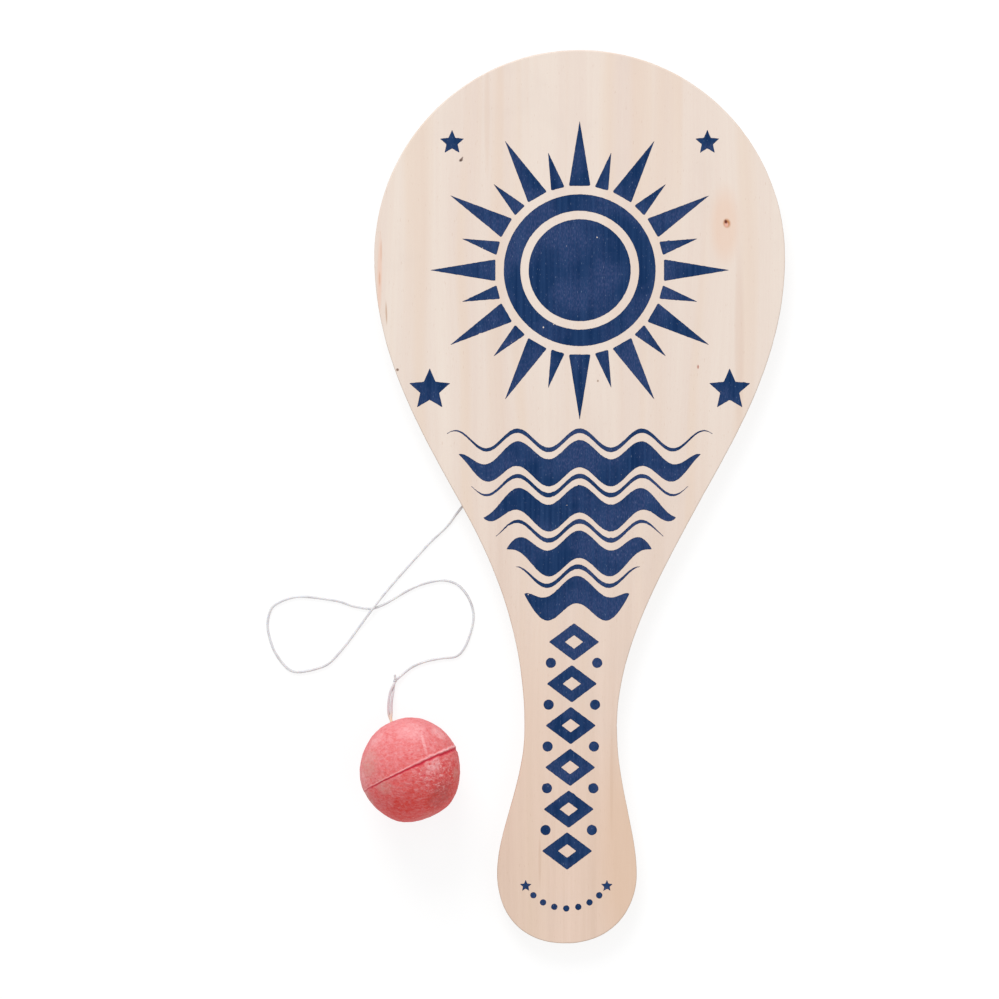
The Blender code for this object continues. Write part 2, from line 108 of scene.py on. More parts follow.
# The board's outline. A lean moves the handle's centre line towards -X.
WIDEST_FROM_TOP = 0.065
SHOULDER_WIDTH, SHOULDER_Y, SHOULDER_SLOPE = 0.0694, 0.1332, 0.54
WAIST_WIDTH, WAIST_Y, WAIST_LEAN = 0.0289, 0.0677, 0.0028
BUTT_WIDTH, BUTT_Y, BUTT_LEAN, END_LEAN = 0.0437, 0.0219, 0.0040, 0.0046
BLADE_EASE, SHOULDER_EASE, BUTT_EASE = 0.0331, 0.0225, 0.0135
WAIST_EASE_UP, WAIST_EASE_DOWN = 0.0218, 0.0179
QUARTER_ELLIPSE = 4 / 3 * (math.sqrt(2) - 1)
BUTT_FULLNESS = 0.65
OUTLINE_BEND_STEPS = 90

# The cut edge: how long its waves and nicks are, how deep and rare the nicks, and how wide and
# high the fibres.
EDGE_WAVE_LENGTH, EDGE_NICK_LENGTH = 0.0065, 0.0013
EDGE_NICK_DEPTH, EDGE_NICK_FROM = 3.6, 0.35
EDGE_FIBRE_WIDTH, EDGE_FIBRE_HEIGHT = 0.00045, 0.00022

# The print: the bead where ink has built up along the stencil, the turn from which a corner of
# the stencil is a sharp one, and the size and reach of its wavering, its creep along the fibres
# and its bleeding.
INK_BEAD_WIDTH = 0.00014
SHARP_TURN = math.radians(32)
WAVER, WAVER_LENGTH = 0.00004, 0.0011
FIBRE_WIDTH, FIBRE_LENGTH = 0.00042, 0.004
BLEED, BLEED_SIZE, BLEED_FROM = 0.0008, 0.0014, 0.52

# The cord's route from the staple, seen from above, and its hops over the crossing and the knot.
CORD_ROUTE = [
    (-0.0003, -0.0060), (-0.0022, -0.0150), (-0.0070, -0.0280), (-0.0150, -0.0420),
    (-0.0255, -0.0555), (-0.0369, -0.0682), (-0.0416, -0.0742), (-0.0473, -0.0797),
    (-0.0535, -0.0865), (-0.0596, -0.0934), (-0.0645, -0.0995), (-0.0685, -0.1049),
    (-0.0738, -0.1120), (-0.0786, -0.1172), (-0.0825, -0.1190), (-0.0876, -0.1201),
    (-0.0909, -0.1196), (-0.0935, -0.1172), (-0.0961, -0.1132), (-0.0977, -0.1084),
    (-0.0981, -0.1049), (-0.0974, -0.1014), (-0.0960, -0.0992), (-0.0920, -0.0972),
    (-0.0869, -0.0964), (-0.0766, -0.0977), (-0.0715, -0.0993), (-0.0674, -0.1001),
    (-0.0647, -0.1001), (-0.0610, -0.0986), (-0.0556, -0.0954), (-0.0511, -0.0931),
    (-0.0464, -0.0917), (-0.0424, -0.0913), (-0.0384, -0.0926), (-0.0355, -0.0957),
    (-0.0338, -0.0994), (-0.0333, -0.1031), (-0.0341, -0.1073), (-0.0360, -0.1123),
    (-0.0388, -0.1152), (-0.0435, -0.1158), (-0.0487, -0.1169), (-0.0530, -0.1188),
]
CROSSING_FROM_STAPLE = Vector((-0.0647, -0.1002, 0))
CROSSING_HALF_LENGTH, CROSSING_GAP = 0.009, 0.0001
STAPLE_RAMP, KNOT_RAMP, KNOT_BITE = 0.010, 0.006, 0.0004
SWELL_LENGTH = 0.006         # between the cord's thicker places
STRAND_LEAVE = Vector((-0.0016, -0.0042, 0))
STRAND_APPROACH, STRAND_TWIST_LENGTH, STRAND_IN_BALL = 0.0065, 0.0045, 0.0067
STRAND_EDGE_ON = 0.0032      # from the ball, along the cord
STRAND_GAP, STRAND_BOW, STRAND_BOW_END = 0.00006, 0.12, 0.75

# The knots: how far one is pulled in from its room, how its turns lean over each other, how
# quickly its ends tuck in, how the tails lie, and how thin the pulled cord is.
KNOT_SNUG, KNOT_STEPS_A_TURN = 0.07, 26
KNOT_LEAN, KNOT_LEAN_START, KNOT_TUCK = 0.22, 0.6, 7
KNOT_AXIS, KNOT_TAIL_ROOT = Vector((0.3, 1, 0)), Vector((0.0001, 0.0003, 0.0003))
KNOT_TAIL_BACK, KNOT_TAIL_KNEE = 0.0012, 0.6
ANCHOR_TAIL_TUCK, ANCHOR_TAIL_SWAY = 0.0004, 0.0005
ANCHOR_THIN, KNOT_THIN, KNOT_TAIL_THIN = 0.9, 0.86, 0.95

# The staple's flattened wire.
WIRE_THICKNESS, WIRE_SIDES, WIRE_STEP, WIRE_SQUARENESS = 0.0006, 20, 0.0002, 0.45
WIRE_BEND_STEPS = 8

# Steps of the fine meshes.
OUTLINE_STEP, INK_STEP, CORD_STEP, WAVE_STEP = 0.0008, 0.0005, 0.0004, 0.0003
WALL_STEP = 0.00018
CORD_SIDES = 14
BALL_CUTS = 96

# How the rib lies round the ball.
RIB_HEADING, RIB_TILT = math.radians(25.5), math.radians(4.5)

# The radius that the ball's finish is drawn by, and the side on which it is paler: thicker bloom and a
# painted highlight, facing towards the key lamp.
SKIN_RADIUS = 0.016
BLOOM_AND_LIT_SIDE = Vector((-0.34, 0.90, 0.16))

# The hole for the cord: its radius, and along it the depth and the share of that radius.
BORE_RADIUS = 0.0010
BORE_PROFILE = [(0.0, 1.35), (0.0002, 1.12), (0.0006, 1.0), (0.0068, 1.0), (0.0074, 1.6),
                (0.0094, 1.7), (0.0102, 1.1)]

# Bulges and flats that wear has given the ball's outline: heading in degrees, height, spread in
# degrees.
BALL_WEAR = [
    (85, 0.00030, 22), (258, 0.00055, 20), (320, 0.00045, 15), (160, -0.00045, 26),
    (2, -0.00038, 24),
]

# Lumps all over the ball's skin, by height and grain. Its pits: how far they and their clusters
# lie apart, and how large one is as a share of that.
SKIN_LUMPS = [(0.00010, 0.0060), (0.00009, 0.0016), (0.00007, 0.0007)]
PIT_SPACING, PIT_CLUSTER, PIT_SIZE = 0.0023, 0.004, 0.17

# Dust on the ball, from its centre as seen from above: place, reach, kind and strength. The kinds
# are the colours of BallSettings.
DUST_SPOTS = [
    (-0.0130, 0.0022, 0.0052, "dust", 0.58), (-0.0078, -0.0044, 0.0030, "dust", 0.55),
    (0.0072, 0.0026, 0.0030, "bloom", 0.75), (0.0100, -0.0078, 0.0056, "grime", 0.55),
    (0.0088, 0.0118, 0.0030, "bloom", 0.80), (-0.0130, -0.0085, 0.0038, "dust", 0.55),
    (0.0145, -0.0010, 0.0024, "dust", 0.40), (-0.0105, 0.0095, 0.0036, "bloom", 0.50),
    (0.0010, 0.0128, 0.0048, "bloom", 0.60), (0.0062, -0.0138, 0.0036, "dust", 0.30),
    # This last spot, on the left rim, is bloom and also a painted sheen along that rim.
    (-0.0146, -0.0036, 0.0042, "bloom", 0.50),
]
# A pale scratch on the ball, and the place where its skin is torn in streaks: place, half width,
# half height and turn in degrees.
BALL_SCRATCH = (0.0044, 0.0092, 0.00050, 0.0042, 15)
BALL_TORN = (0.0092, -0.0006, 0.0085, 0.0060, -12)

# Marks in the face veneer: place on the board, half width and half height in metres, turn in
# degrees, colour and strength.
FACE_MARKS = [
    (0.0455, 0.2250, 0.0048, 0.0125, 0, "edcab2", 0.50),
    (0.0461, 0.2257, 0.0012, 0.0015, 8, "c27c3e", 0.95),
    (0.0460, 0.2253, 0.0007, 0.0008, 8, "ecb6a4", 1.0),
    (0.0458, 0.2262, 0.0005, 0.0007, 20, "66261a", 1.0),
    (-0.0372, 0.2455, 0.0007, 0.0005, 35, "5a463f", 1.0),
    (-0.0369, 0.2460, 0.0003, 0.0007, -30, "7c665d", 0.9),
    (-0.0627, 0.2092, 0.0008, 0.0135, -1, "efc6b0", 0.60),
    (-0.0627, 0.2083, 0.0003, 0.0024, 0, "d99f7c", 0.55),
    (-0.0622, 0.2170, 0.0003, 0.0036, 0, "dcae94", 0.45),
    (-0.0606, 0.1976, 0.0003, 0.0038, 2, "c39a7c", 0.65),
    (-0.0571, 0.1798, 0.0005, 0.0005, 0, "80604f", 0.9),
    (0.0057, 0.1763, 0.0003, 0.0004, 0, "9a7a62", 0.8),
    (0.0371, 0.1807, 0.0003, 0.0007, 0, "b0604c", 0.8),
    (-0.0030, 0.1368, 0.0003, 0.0004, 0, "8f6f58", 0.8),
    (0.0064, 0.1475, 0.0003, 0.0004, 0, "8f6f58", 0.7),
    (0.0500, 0.1900, 0.0016, 0.0300, 0, "e2c9b8", 0.45),
    (-0.0290, 0.2600, 0.0010, 0.0200, 0, "e4cdbd", 0.45),
    (0.0100, 0.0500, 0.0006, 0.0180, 0, "cfae95", 0.3),
    (-0.0125, 0.0260, 0.0005, 0.0090, 0, "caa78c", 0.3),
    (0.0170, 0.0240, 0.0120, 0.0420, 4, "e3c0a2", 0.45),
]
BACK_MARKS = [
    (-0.0310, 0.1900, 0.0030, 0.0120, 0, "e9c6a4", 0.5),
    (-0.0310, 0.1900, 0.0012, 0.0018, -6, "a9683a", 0.95),
    (-0.0312, 0.1902, 0.0006, 0.0008, 0, "5a2a1c", 1.0),
    (0.0250, 0.2300, 0.0006, 0.0160, 1, "c9a184", 0.6),
]

# The stage. The table top's glow and its lit shade add up to white. Below them is what the
# object gets back from it. The lamps' places are from the middle of the view.
FLOOR_DROP, FLOOR_GLOW, FLOOR_SHADE = 0.00012, 0.79, 0.26
FLOOR_RETURN, GAP_GLOW = 0.55, 0.25
KEY_LAMP_OFF, FILL_LAMP_OFF = Vector((-0.60, 2.20, 1.50)), Vector((1.3, -0.5, 1.5))
LAMP_SIDE = 1.4


def linear(hex_colour):
    """An sRGB hex colour as the linear red, green and blue that a shader takes."""
    parts = [int(hex_colour[start:start + 2], 16) / 255 for start in (0, 2, 4)]
    return tuple(part / 12.92 if part <= 0.04045 else ((part + 0.055) / 1.055) ** 2.4 for part in parts)


def size_property(name, description, default):
    return FloatProperty(name=name, description=description, default=default, min=0.0,
                         unit="LENGTH", subtype="DISTANCE", precision=5)


def colour_property(name, description, hex_colour):
    return FloatVectorProperty(name=name, description=description, default=linear(hex_colour),
                               min=0.0, max=1.0, size=3, subtype="COLOR")


class BoardSettings(PropertyGroup):
    rim_round: size_property("Sanded rim", "Radius that sanding leaves on the board's rims", 0.0004)
    edge_wave: size_property("Edge wave", "How far the die-cut edge wanders from its line", 0.00006)
    edge_tooth: size_property("Edge tooth", "Roughness of the cut fibres", 0.000028)
    core_set_in: size_property("Core set-in", "How far the cross ply lies back from the edge", 0.00006)
    glue_set_in: size_property("Glue set-in", "How far the glue lies back from the edge", 0.00014)
    fresh_wood: colour_property("Fresh wood", "Pale basswood on the blade", "f0e2d6")
    fresh_grain: colour_property("Fresh grain", "Its darker bands", "e9d6ca")
    handled_wood: colour_property("Handled wood", "Basswood that hands have darkened", "f0d6c5")
    handled_grain: colour_property("Handled grain", "Its darker bands", "dfc4b0")
    straw_wood: colour_property("Straw wood", "Straw-coloured streaks", "ebd3bd")
    cut_edge: colour_property("Cut edge", "Side of a face ply", "d3b598")
    end_grain: colour_property("End grain", "Open ends of the fibres", "a9805c")
    glue: colour_property("Glue", "Dried glue between the plies", "8a6238")


class PrintSettings(PropertyGroup):
    film: size_property("Ink film", "Thickness of the dried ink", 0.00003)
    feather: size_property("Feather", "How far the ink creeps along the grain", 0.00010)
    sun_disc: size_property("Sun disc", "Radius of the sun's middle", 0.0160)
    sun_reach: size_property("Sun reach", "Radius at the tips of the long rays", 0.0470)
    wave_band: size_property("Wave band", "Width of a broad wave", 0.0086)
    diamond_width: size_property("Diamond width", "Width of a diamond on the handle", 0.0158)
    ink: colour_property("Ink", "Navy screen ink", "022a56")
    ink_thin: colour_property("Thin ink", "Ink where it lies thin on the grain", "1c3763")
    ink_edge: colour_property("Ink edge", "Ink where it builds up along an edge", "10133b")


class CordSettings(PropertyGroup):
    diameter: size_property("Diameter", "Thickness of the elastic cord", 0.0008)
    rubber: colour_property("Elastic", "Milky elastic", "ececee")
    rubber_dark: colour_property("Elastic, thin", "Elastic where it is stretched and clear", "cdcbd0")
    rubber_soiled: colour_property("Elastic, soiled", "Elastic dulled by dust off the ball", "ceb6ba")
    rubber_aged: colour_property("Elastic, aged", "Elastic yellowed next to the ball", "f2d2a8")


class StapleSettings(PropertyGroup):
    bend: size_property("Bend", "Radius of the crown's bends", 0.0007)
    zinc: colour_property("Zinc", "Galvanised wire", "a7a9ab")
    zinc_dull: colour_property("Dull zinc", "Zinc gone dull", "7b7d80")


class BallSettings(PropertyGroup):
    rib_height: size_property("Rib height", "How far the mould's rib stands up", 0.00026)
    rib_width: size_property("Rib width", "Width of the rib", 0.00070)
    groove_depth: size_property("Groove depth", "Depth of the line beside the rib", 0.00019)
    pit_depth: size_property("Pit depth", "Depth of the pits", 0.00011)
    rubber: colour_property("Rubber", "Red rubber", "df3f35")
    # This colour also paints shade in the groove under the rib and in the pits.
    rubber_deep_and_shade: colour_property("Deep rubber", "Rubber in pits and lines", "d0213c")
    # This colour also paints the highlight on the side towards the key lamp.
    powder_and_highlight: colour_property("Powder", "Rubber with a thin pink bloom on it", "ed9194")
    # This colour also paints the highlight on the rib's upper side.
    bloom: colour_property("Bloom", "Thick pale bloom", "fbbcbe")
    dust: colour_property("Dust", "Grey dust that clings to the bloom", "d6a69c")
    grime: colour_property("Grime", "Brownish grime on the underside", "a0504a")


class StageSettings(PropertyGroup):
    camera_height: size_property("Camera height", "Camera above the printed face", 1.6)
    view_width: size_property("View width", "Width that the camera sees on the printed face", 0.31306)
    camera_left: size_property("Camera left", "Camera's place left of the blade's axis", 0.02513)
    camera_up: size_property("Camera up", "Camera's place up from the butt's end", 0.13914)
    floor_side: size_property("Floor side", "Side of the floor", 9.0)
    daylight: FloatProperty(name="Daylight", description="Strength of the even light all round",
                            default=0.63)
    key_power: FloatProperty(name="Key power", description="Power of the key lamp", default=42.0,
                             unit="POWER")
    fill_power: FloatProperty(name="Fill power", description="Power of the fill lamp", default=3.0,
                              unit="POWER")


SETTINGS = {
    "paddle_board": BoardSettings, "paddle_print": PrintSettings, "paddle_cord": CordSettings,
    "paddle_staple": StapleSettings, "paddle_ball": BallSettings, "paddle_stage": StageSettings,
}


def ease(share):
    """0 to 1, level at both ends."""
    share = min(max(share, 0.0), 1.0)
    return share * share * (3 - 2 * share)


def bump_at(distance, half_width):
    """1 at no distance, easing to 0 at the half width."""
    return ease(1 - abs(distance) / half_width)


def on_board(x, y, z=0.0):
    """A place in the row frame, given from the blade's axis and the butt's end."""
    return BOARD_ZERO + Vector((x, y, z))


def even_points(points, step, closed=False):
    """Points at even steps, about the one given, along a line through the points."""
    line = points + points[:1] if closed else points
    lengths = [0.0]
    for start, end in zip(line, line[1:]):
        lengths.append(lengths[-1] + (end - start).length)
    count = max(round(lengths[-1] / step), 2)
    spread = []
    place = 0
    for number in range(count + (0 if closed else 1)):
        wanted = lengths[-1] * number / count
        while place < len(line) - 2 and lengths[place + 1] < wanted:
            place += 1
        share = (wanted - lengths[place]) / (lengths[place + 1] - lengths[place])
        spread.append(line[place].lerp(line[place + 1], min(share, 1.0)))
    return spread


def smooth_line(route, fine_steps=24):
    """A smooth curve through the route's points."""
    ends = [route[0] * 2 - route[1]] + route + [route[-1] * 2 - route[-2]]
    fine = []
    for before, start, end, after in zip(ends, ends[1:], ends[2:], ends[3:]):
        for step in range(fine_steps):
            t = step / fine_steps
            turn = (start * 2 + (end - before) * t
                    + (before * 2 - start * 5 + end * 4 - after) * t ** 2
                    + (start * 3 - before - end * 3 + after) * t ** 3)
            fine.append(turn / 2)
    fine.append(route[-1])
    return fine


def line_length(points):
    return sum((end - start).length for start, end in zip(points, points[1:]))


def run_at(points, number):
    """The direction of a line where it passes one of its points."""
    ahead = points[min(number + 1, len(points) - 1)]
    behind = points[max(number - 1, 0)]
    return (ahead - behind).normalized()


def piece_from(shape, name, material, body, replaced=(), smooth=True):
    """A finished piece from a bmesh: its finish, the body it rides on and the nodes it stands for."""
    mesh = bpy.data.meshes.new(name)
    shape.to_mesh(mesh)
    shape.free()
    if smooth:
        mesh.shade_smooth()
    mesh.materials.append(material)
    piece = bpy.data.objects.new(name, mesh)
    bpy.context.scene.collection.objects.link(piece)
    if body:
        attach(piece, body)
    if replaced:
        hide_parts(*replaced)
    return piece


def set_inputs(tree, node, inputs):
    """Give a node's inputs a value, a socket or another node's output."""
    for key, value in inputs.items():
        if isinstance(key, str):
            socket = next(item for item in node.inputs if item.enabled and item.name == key)
        else:
            socket = node.inputs[key]
        if isinstance(value, Node):
            value = next(item for item in value.outputs if item.enabled)
        if isinstance(value, NodeSocket):
            tree.links.new(value, socket)
        elif socket.type == "RGBA":
            socket.default_value = (*value, 1.0)
        else:
            socket.default_value = value


def add_node(tree, kind, inputs=None, **settings):
    """Add a shader node with its settings and links."""
    node = tree.nodes.new("ShaderNode" + kind)
    for name, value in settings.items():
        setattr(node, name, value)
    set_inputs(tree, node, inputs or {})
    return node


def new_finish(name, fixed):
    """A material, its node tree and its shader, with the values that are the same all over."""
    material = bpy.data.materials.new(name)
    material.use_nodes = True
    tree = material.node_tree
    shader = tree.nodes["Principled BSDF"]
    set_inputs(tree, shader, fixed)
    return material, tree, shader


def sized_noise(tree, place, size, detail=2.0, roughness=0.5, distortion=0.0, turn=0.0):
    """Noise with grains of a real size in millimetres: one length, or one along each axis."""
    lengths = size if isinstance(size, tuple) else (size, size, size)
    scaled = add_node(tree, "Mapping", {"Vector": place, "Rotation": (0, 0, turn),
                                        "Scale": tuple(1000 / length for length in lengths)})
    return add_node(tree, "TexNoise", {"Vector": scaled, "Scale": 1.0, "Detail": detail,
                                       "Roughness": roughness, "Distortion": distortion})


def patchy(tree, place, size, low, high, most=1.0, **grain):
    """A mask of patches of a real size: 0 where the noise is under low, most where over high."""
    grains = sized_noise(tree, place, size, **grain)
    return add_node(tree, "MapRange", {"Value": grains, "From Min": low, "From Max": high,
                                       "To Max": most})


def weighted_sum(tree, *parts):
    """The sum of values, each times its weight."""
    total = 0.0
    for value, weight in parts:
        total = add_node(tree, "Math", {0: value, 1: weight, 2: total}, operation="MULTIPLY_ADD")
    return total


def mark_mask(tree, place, centre, half_width, half_height, turn=0.0, half_depth=None):
    """1 inside an oval mark, fading over its rim. It goes right through if it has no depth."""
    moved = add_node(tree, "VectorMath", {0: place, 1: centre}, operation="SUBTRACT")
    turned = add_node(tree, "Mapping", {"Vector": moved, "Rotation": (0, 0, math.radians(-turn))})
    shares = (1 / half_width, 1 / half_height, 1 / half_depth if half_depth else 0)
    sized = add_node(tree, "VectorMath", {0: turned, 1: shares}, operation="MULTIPLY")
    far = add_node(tree, "VectorMath", {0: sized}, operation="LENGTH").outputs["Value"]
    return add_node(tree, "MapRange", {"Value": far, "From Min": 1.25, "From Max": 0.45},
                    interpolation_type="SMOOTHSTEP")


def basswood(name, board, marks, lengthwise=True, shift=(0.0, 0.0, 0.0)):
    """Basswood veneer, rotary cut and sanded: pale, close and matt, with faint bands and fine
    fibres along the grain, hand-darkened towards the butt, and a browner, open cut edge."""
    material, tree, shader = new_finish(name, {"IOR": 1.45, "Specular IOR Level": 0.35})
    place = add_node(tree, "TexCoord").outputs["Object"]
    turn = 0.0 if lengthwise else math.radians(90)
    local = add_node(tree, "Mapping", {"Vector": place, "Location": shift, "Rotation": (0, 0, turn)})
    # The grain wanders a few millimetres over the length of the board.
    waver = sized_noise(tree, local, (24, 110, 24), 1.0)
    sideways = add_node(tree, "Math", {0: waver, 1: 0.010, 2: -0.005}, operation="MULTIPLY_ADD")
    step = add_node(tree, "CombineXYZ", {"X": sideways})
    grain = add_node(tree, "VectorMath", {0: local, 1: step}, operation="ADD")
    bands = sized_noise(tree, grain, (8.5, 420, 8.5))
    lines = sized_noise(tree, grain, (1.1, 55, 1.1), 3.0)
    # Real fibres are a few hundredths of a millimetre wide, too fine to show. These are coarser.
    fibres = sized_noise(tree, grain, (0.16, 3.5, 0.16))
    tone = weighted_sum(tree, (bands, 0.56), (lines, 0.20), (fibres, 0.16))
    tone = add_node(tree, "MapRange", {"Value": tone, "From Min": 0.30, "From Max": 0.62})
    along = add_node(tree, "SeparateXYZ", {"Vector": place}).outputs["Y"]
    handled = add_node(tree, "MapRange", {
        "Value": along, "From Min": BOARD_ZERO.y + 0.190, "From Max": BOARD_ZERO.y + 0.010,
    }, interpolation_type="SMOOTHSTEP")
    pale = add_node(tree, "Mix", {"Factor": handled, "A": board.fresh_wood, "B": board.handled_wood},
                    data_type="RGBA")
    dark = add_node(tree, "Mix", {"Factor": handled, "A": board.fresh_grain, "B": board.handled_grain},
                    data_type="RGBA")
    colour = add_node(tree, "Mix", {"Factor": tone, "A": pale, "B": dark}, data_type="RGBA")
    # Broad streaks lean to straw, soft smudges grey the sanded face a little, and short brown
    # flecks show where a pore is cut open.
    straw = patchy(tree, grain, (6.2, 260, 6.2), 0.50, 0.68, 0.34, detail=1.0)
    smudges = patchy(tree, place, 19, 0.58, 0.72, 0.16, detail=3.0)
    flecks = patchy(tree, grain, (0.22, 2.2, 0.22), 0.70, 0.78, 0.45, detail=1.0)
    layers = [(straw, board.straw_wood), (smudges, linear("dccbc0")), (flecks, linear("c9a68c"))]
    for x, y, half_width, half_height, lean, hex_colour, strength in marks:
        mask = mark_mask(tree, place, on_board(x, y), half_width, half_height, lean)
        mask = add_node(tree, "Math", {0: mask, 1: strength}, operation="MULTIPLY")
        layers.append((mask, linear(hex_colour)))
    # The cut edge shows side grain, or end grain where it runs across the fibres.
    facing = add_node(tree, "SeparateXYZ", {"Vector": add_node(tree, "NewGeometry").outputs["Normal"]})
    level = add_node(tree, "Math", {0: facing.outputs["Z"]}, operation="ABSOLUTE")
    edge = add_node(tree, "MapRange", {"Value": level, "From Min": 0.70, "From Max": 0.25})
    crossing = facing.outputs["Y" if lengthwise else "X"]
    open_end = add_node(tree, "Math", {0: crossing}, operation="ABSOLUTE")
    open_end = add_node(tree, "MapRange", {"Value": open_end, "From Min": 0.15, "From Max": 0.9})
    bundles = patchy(tree, grain, (0.22, 4.5, 0.22), 0.35, 0.65, detail=3.0)
    side = add_node(tree, "Mix", {"Factor": bundles, "A": board.cut_edge, "B": linear("bd9a7a")},
                    data_type="RGBA")
    ends = add_node(tree, "Mix", {"Factor": bundles, "A": board.end_grain, "B": linear("c39d78")},
                    data_type="RGBA")
    layers.append((edge, add_node(tree, "Mix", {"Factor": open_end, "A": side, "B": ends},
                                  data_type="RGBA")))
    for mask, tint in layers:
        colour = add_node(tree, "Mix", {"Factor": mask, "A": colour, "B": tint}, data_type="RGBA")
    rough = add_node(tree, "MapRange", {"Value": lines, "From Min": 0.3, "From Max": 0.7,
                                        "To Min": 0.56, "To Max": 0.70})
    relief = weighted_sum(tree, (fibres, 0.5), (lines, 0.5), (bundles, edge))
    bump = add_node(tree, "Bump", {"Strength": 0.5, "Distance": 0.00005, "Height": relief})
    set_inputs(tree, shader, {"Base Color": colour, "Roughness": rough, "Normal": bump})
    return material


def screen_ink(look, board):
    """Navy screen ink on bare wood: flat and matt, thinner along the grain, with pinholes where
    it skipped a pore and a darker bead where it built up along the stencil."""
    material, tree, shader = new_finish("navy_screen_ink", {"IOR": 1.5, "Specular IOR Level": 0.12})
    place = add_node(tree, "TexCoord").outputs["Object"]
    streaks = patchy(tree, place, (0.9, 30, 0.9), 0.36, 0.70, detail=3.0)
    grained = add_node(tree, "Math", {0: streaks, 1: 0.50}, operation="MULTIPLY")
    cloud = patchy(tree, place, 13, 0.42, 0.62, detail=3.0)
    # Chalky where the ink lies thin, over the raised fibres.
    chalk = patchy(tree, place, (0.35, 1.1, 0.35), 0.44, 0.70, 0.45, detail=3.0)
    chalk = add_node(tree, "Math", {0: chalk, 1: cloud}, operation="MULTIPLY")
    pores = patchy(tree, place, (0.3, 1.1, 0.3), 0.69, 0.77, 0.45, detail=1.0)
    # Pinholes of many sizes, to the bare wood, with ragged rims.
    ragged = sized_noise(tree, place, 0.6).outputs["Color"]
    ragged = add_node(tree, "VectorMath", {0: ragged, 1: (0.0004, 0.0004, 0.0004), 2: place},
                      operation="MULTIPLY_ADD")
    holes = add_node(tree, "TexVoronoi", {"Vector": ragged, "Scale": 1000 / 4.4}, feature="F1")
    sizes = add_node(tree, "SeparateXYZ", {"Vector": holes.outputs["Color"]}).outputs["X"]
    sizes = add_node(tree, "Math", {0: sizes, 1: 0.11, 2: -0.035}, operation="MULTIPLY_ADD")
    holes = add_node(tree, "Math", {0: sizes, 1: holes.outputs["Distance"]}, operation="SUBTRACT")
    holes = add_node(tree, "MapRange", {"Value": holes, "From Max": 0.02, "To Max": 0.9})
    bead = add_node(tree, "Attribute", attribute_name="bead").outputs["Fac"]
    bead = add_node(tree, "Math", {0: bead, 1: 0.75}, operation="MULTIPLY")
    colour = look.ink
    for mask, tint in ((cloud, look.ink_thin), (grained, linear("2a4976")), (chalk, linear("575c88")),
                       (pores, linear("8796b2")), (holes, board.fresh_wood), (bead, look.ink_edge)):
        colour = add_node(tree, "Mix", {"Factor": mask, "A": colour, "B": tint}, data_type="RGBA")
    rough = add_node(tree, "MapRange", {"Value": streaks, "To Min": 0.46, "To Max": 0.60})
    fibres = sized_noise(tree, place, (0.18, 3.5, 0.18))
    bump = add_node(tree, "Bump", {"Strength": 0.35, "Distance": 0.00003, "Height": fibres})
    set_inputs(tree, shader, {"Base Color": colour, "Roughness": rough, "Normal": bump})
    return material


def dried_glue(board):
    """Hide or urea glue squeezed between plies: amber brown, hard and a little glossy."""
    material, tree, shader = new_finish("dried_ply_glue", {"IOR": 1.5, "Roughness": 0.42})
    patches = sized_noise(tree, add_node(tree, "TexCoord").outputs["Object"], 1.5, 3.0)
    colour = add_node(tree, "Mix", {"Factor": patches, "A": board.glue, "B": linear("6b4724")},
                      data_type="RGBA")
    set_inputs(tree, shader, {"Base Color": colour})
    return material


def milky_elastic(look):
    """Extruded natural rubber cord: milky grey white, silky, faintly see-through, with fine lines
    along its run and yellowing next to the ball. All pieces of the cord share it."""
    made = bpy.data.materials.get("milky_elastic_rubber")
    if made:
        return made
    material, tree, shader = new_finish("milky_elastic_rubber", {
        "IOR": 1.52, "Specular IOR Level": 0.45, "Subsurface Weight": 0.25,
        "Subsurface Radius": (0.0006, 0.0005, 0.0004), "Subsurface Scale": 1.0,
    })
    place = add_node(tree, "TexCoord").outputs["Object"]
    straight = add_node(tree, "Attribute", attribute_name="straight").outputs["Vector"]
    # The lines that the die leaves are too fine to show, and are drawn 0.16 mm wide.
    lines = sized_noise(tree, straight, (12, 0.16, 0.16))
    patches = sized_noise(tree, straight, (4, 2, 2), 3.0)
    mixed = add_node(tree, "Math", {0: lines, 1: patches}, operation="ADD")
    clear = add_node(tree, "MapRange", {"Value": mixed, "From Min": 0.80, "From Max": 1.25})
    colour = add_node(tree, "Mix", {"Factor": clear, "A": look.rubber, "B": look.rubber_dark},
                      data_type="RGBA")
    far = add_node(tree, "VectorMath", {0: place, 1: BALL_CENTRE + BORE_OUT * SKIN_RADIUS},
                   operation="DISTANCE").outputs["Value"]
    # Dust off the ball dulls the cord up to 16.5 mm from it, and age yellows the nearest 7 mm.
    for begin, full, tint in ((0.0165, 0.0085, look.rubber_soiled), (0.0068, 0.0020, look.rubber_aged)):
        stained = add_node(tree, "MapRange", {"Value": far, "From Min": begin, "From Max": full,
                                              "To Max": 0.88})
        colour = add_node(tree, "Mix", {"Factor": stained, "A": colour, "B": tint}, data_type="RGBA")
    rough = add_node(tree, "MapRange", {"Value": patches, "From Min": 0.3, "From Max": 0.7,
                                        "To Min": 0.38, "To Max": 0.55})
    bump = add_node(tree, "Bump", {"Strength": 0.4, "Distance": 0.00002, "Height": lines})
    set_inputs(tree, shader, {"Base Color": colour, "Roughness": rough, "Normal": bump})
    return material


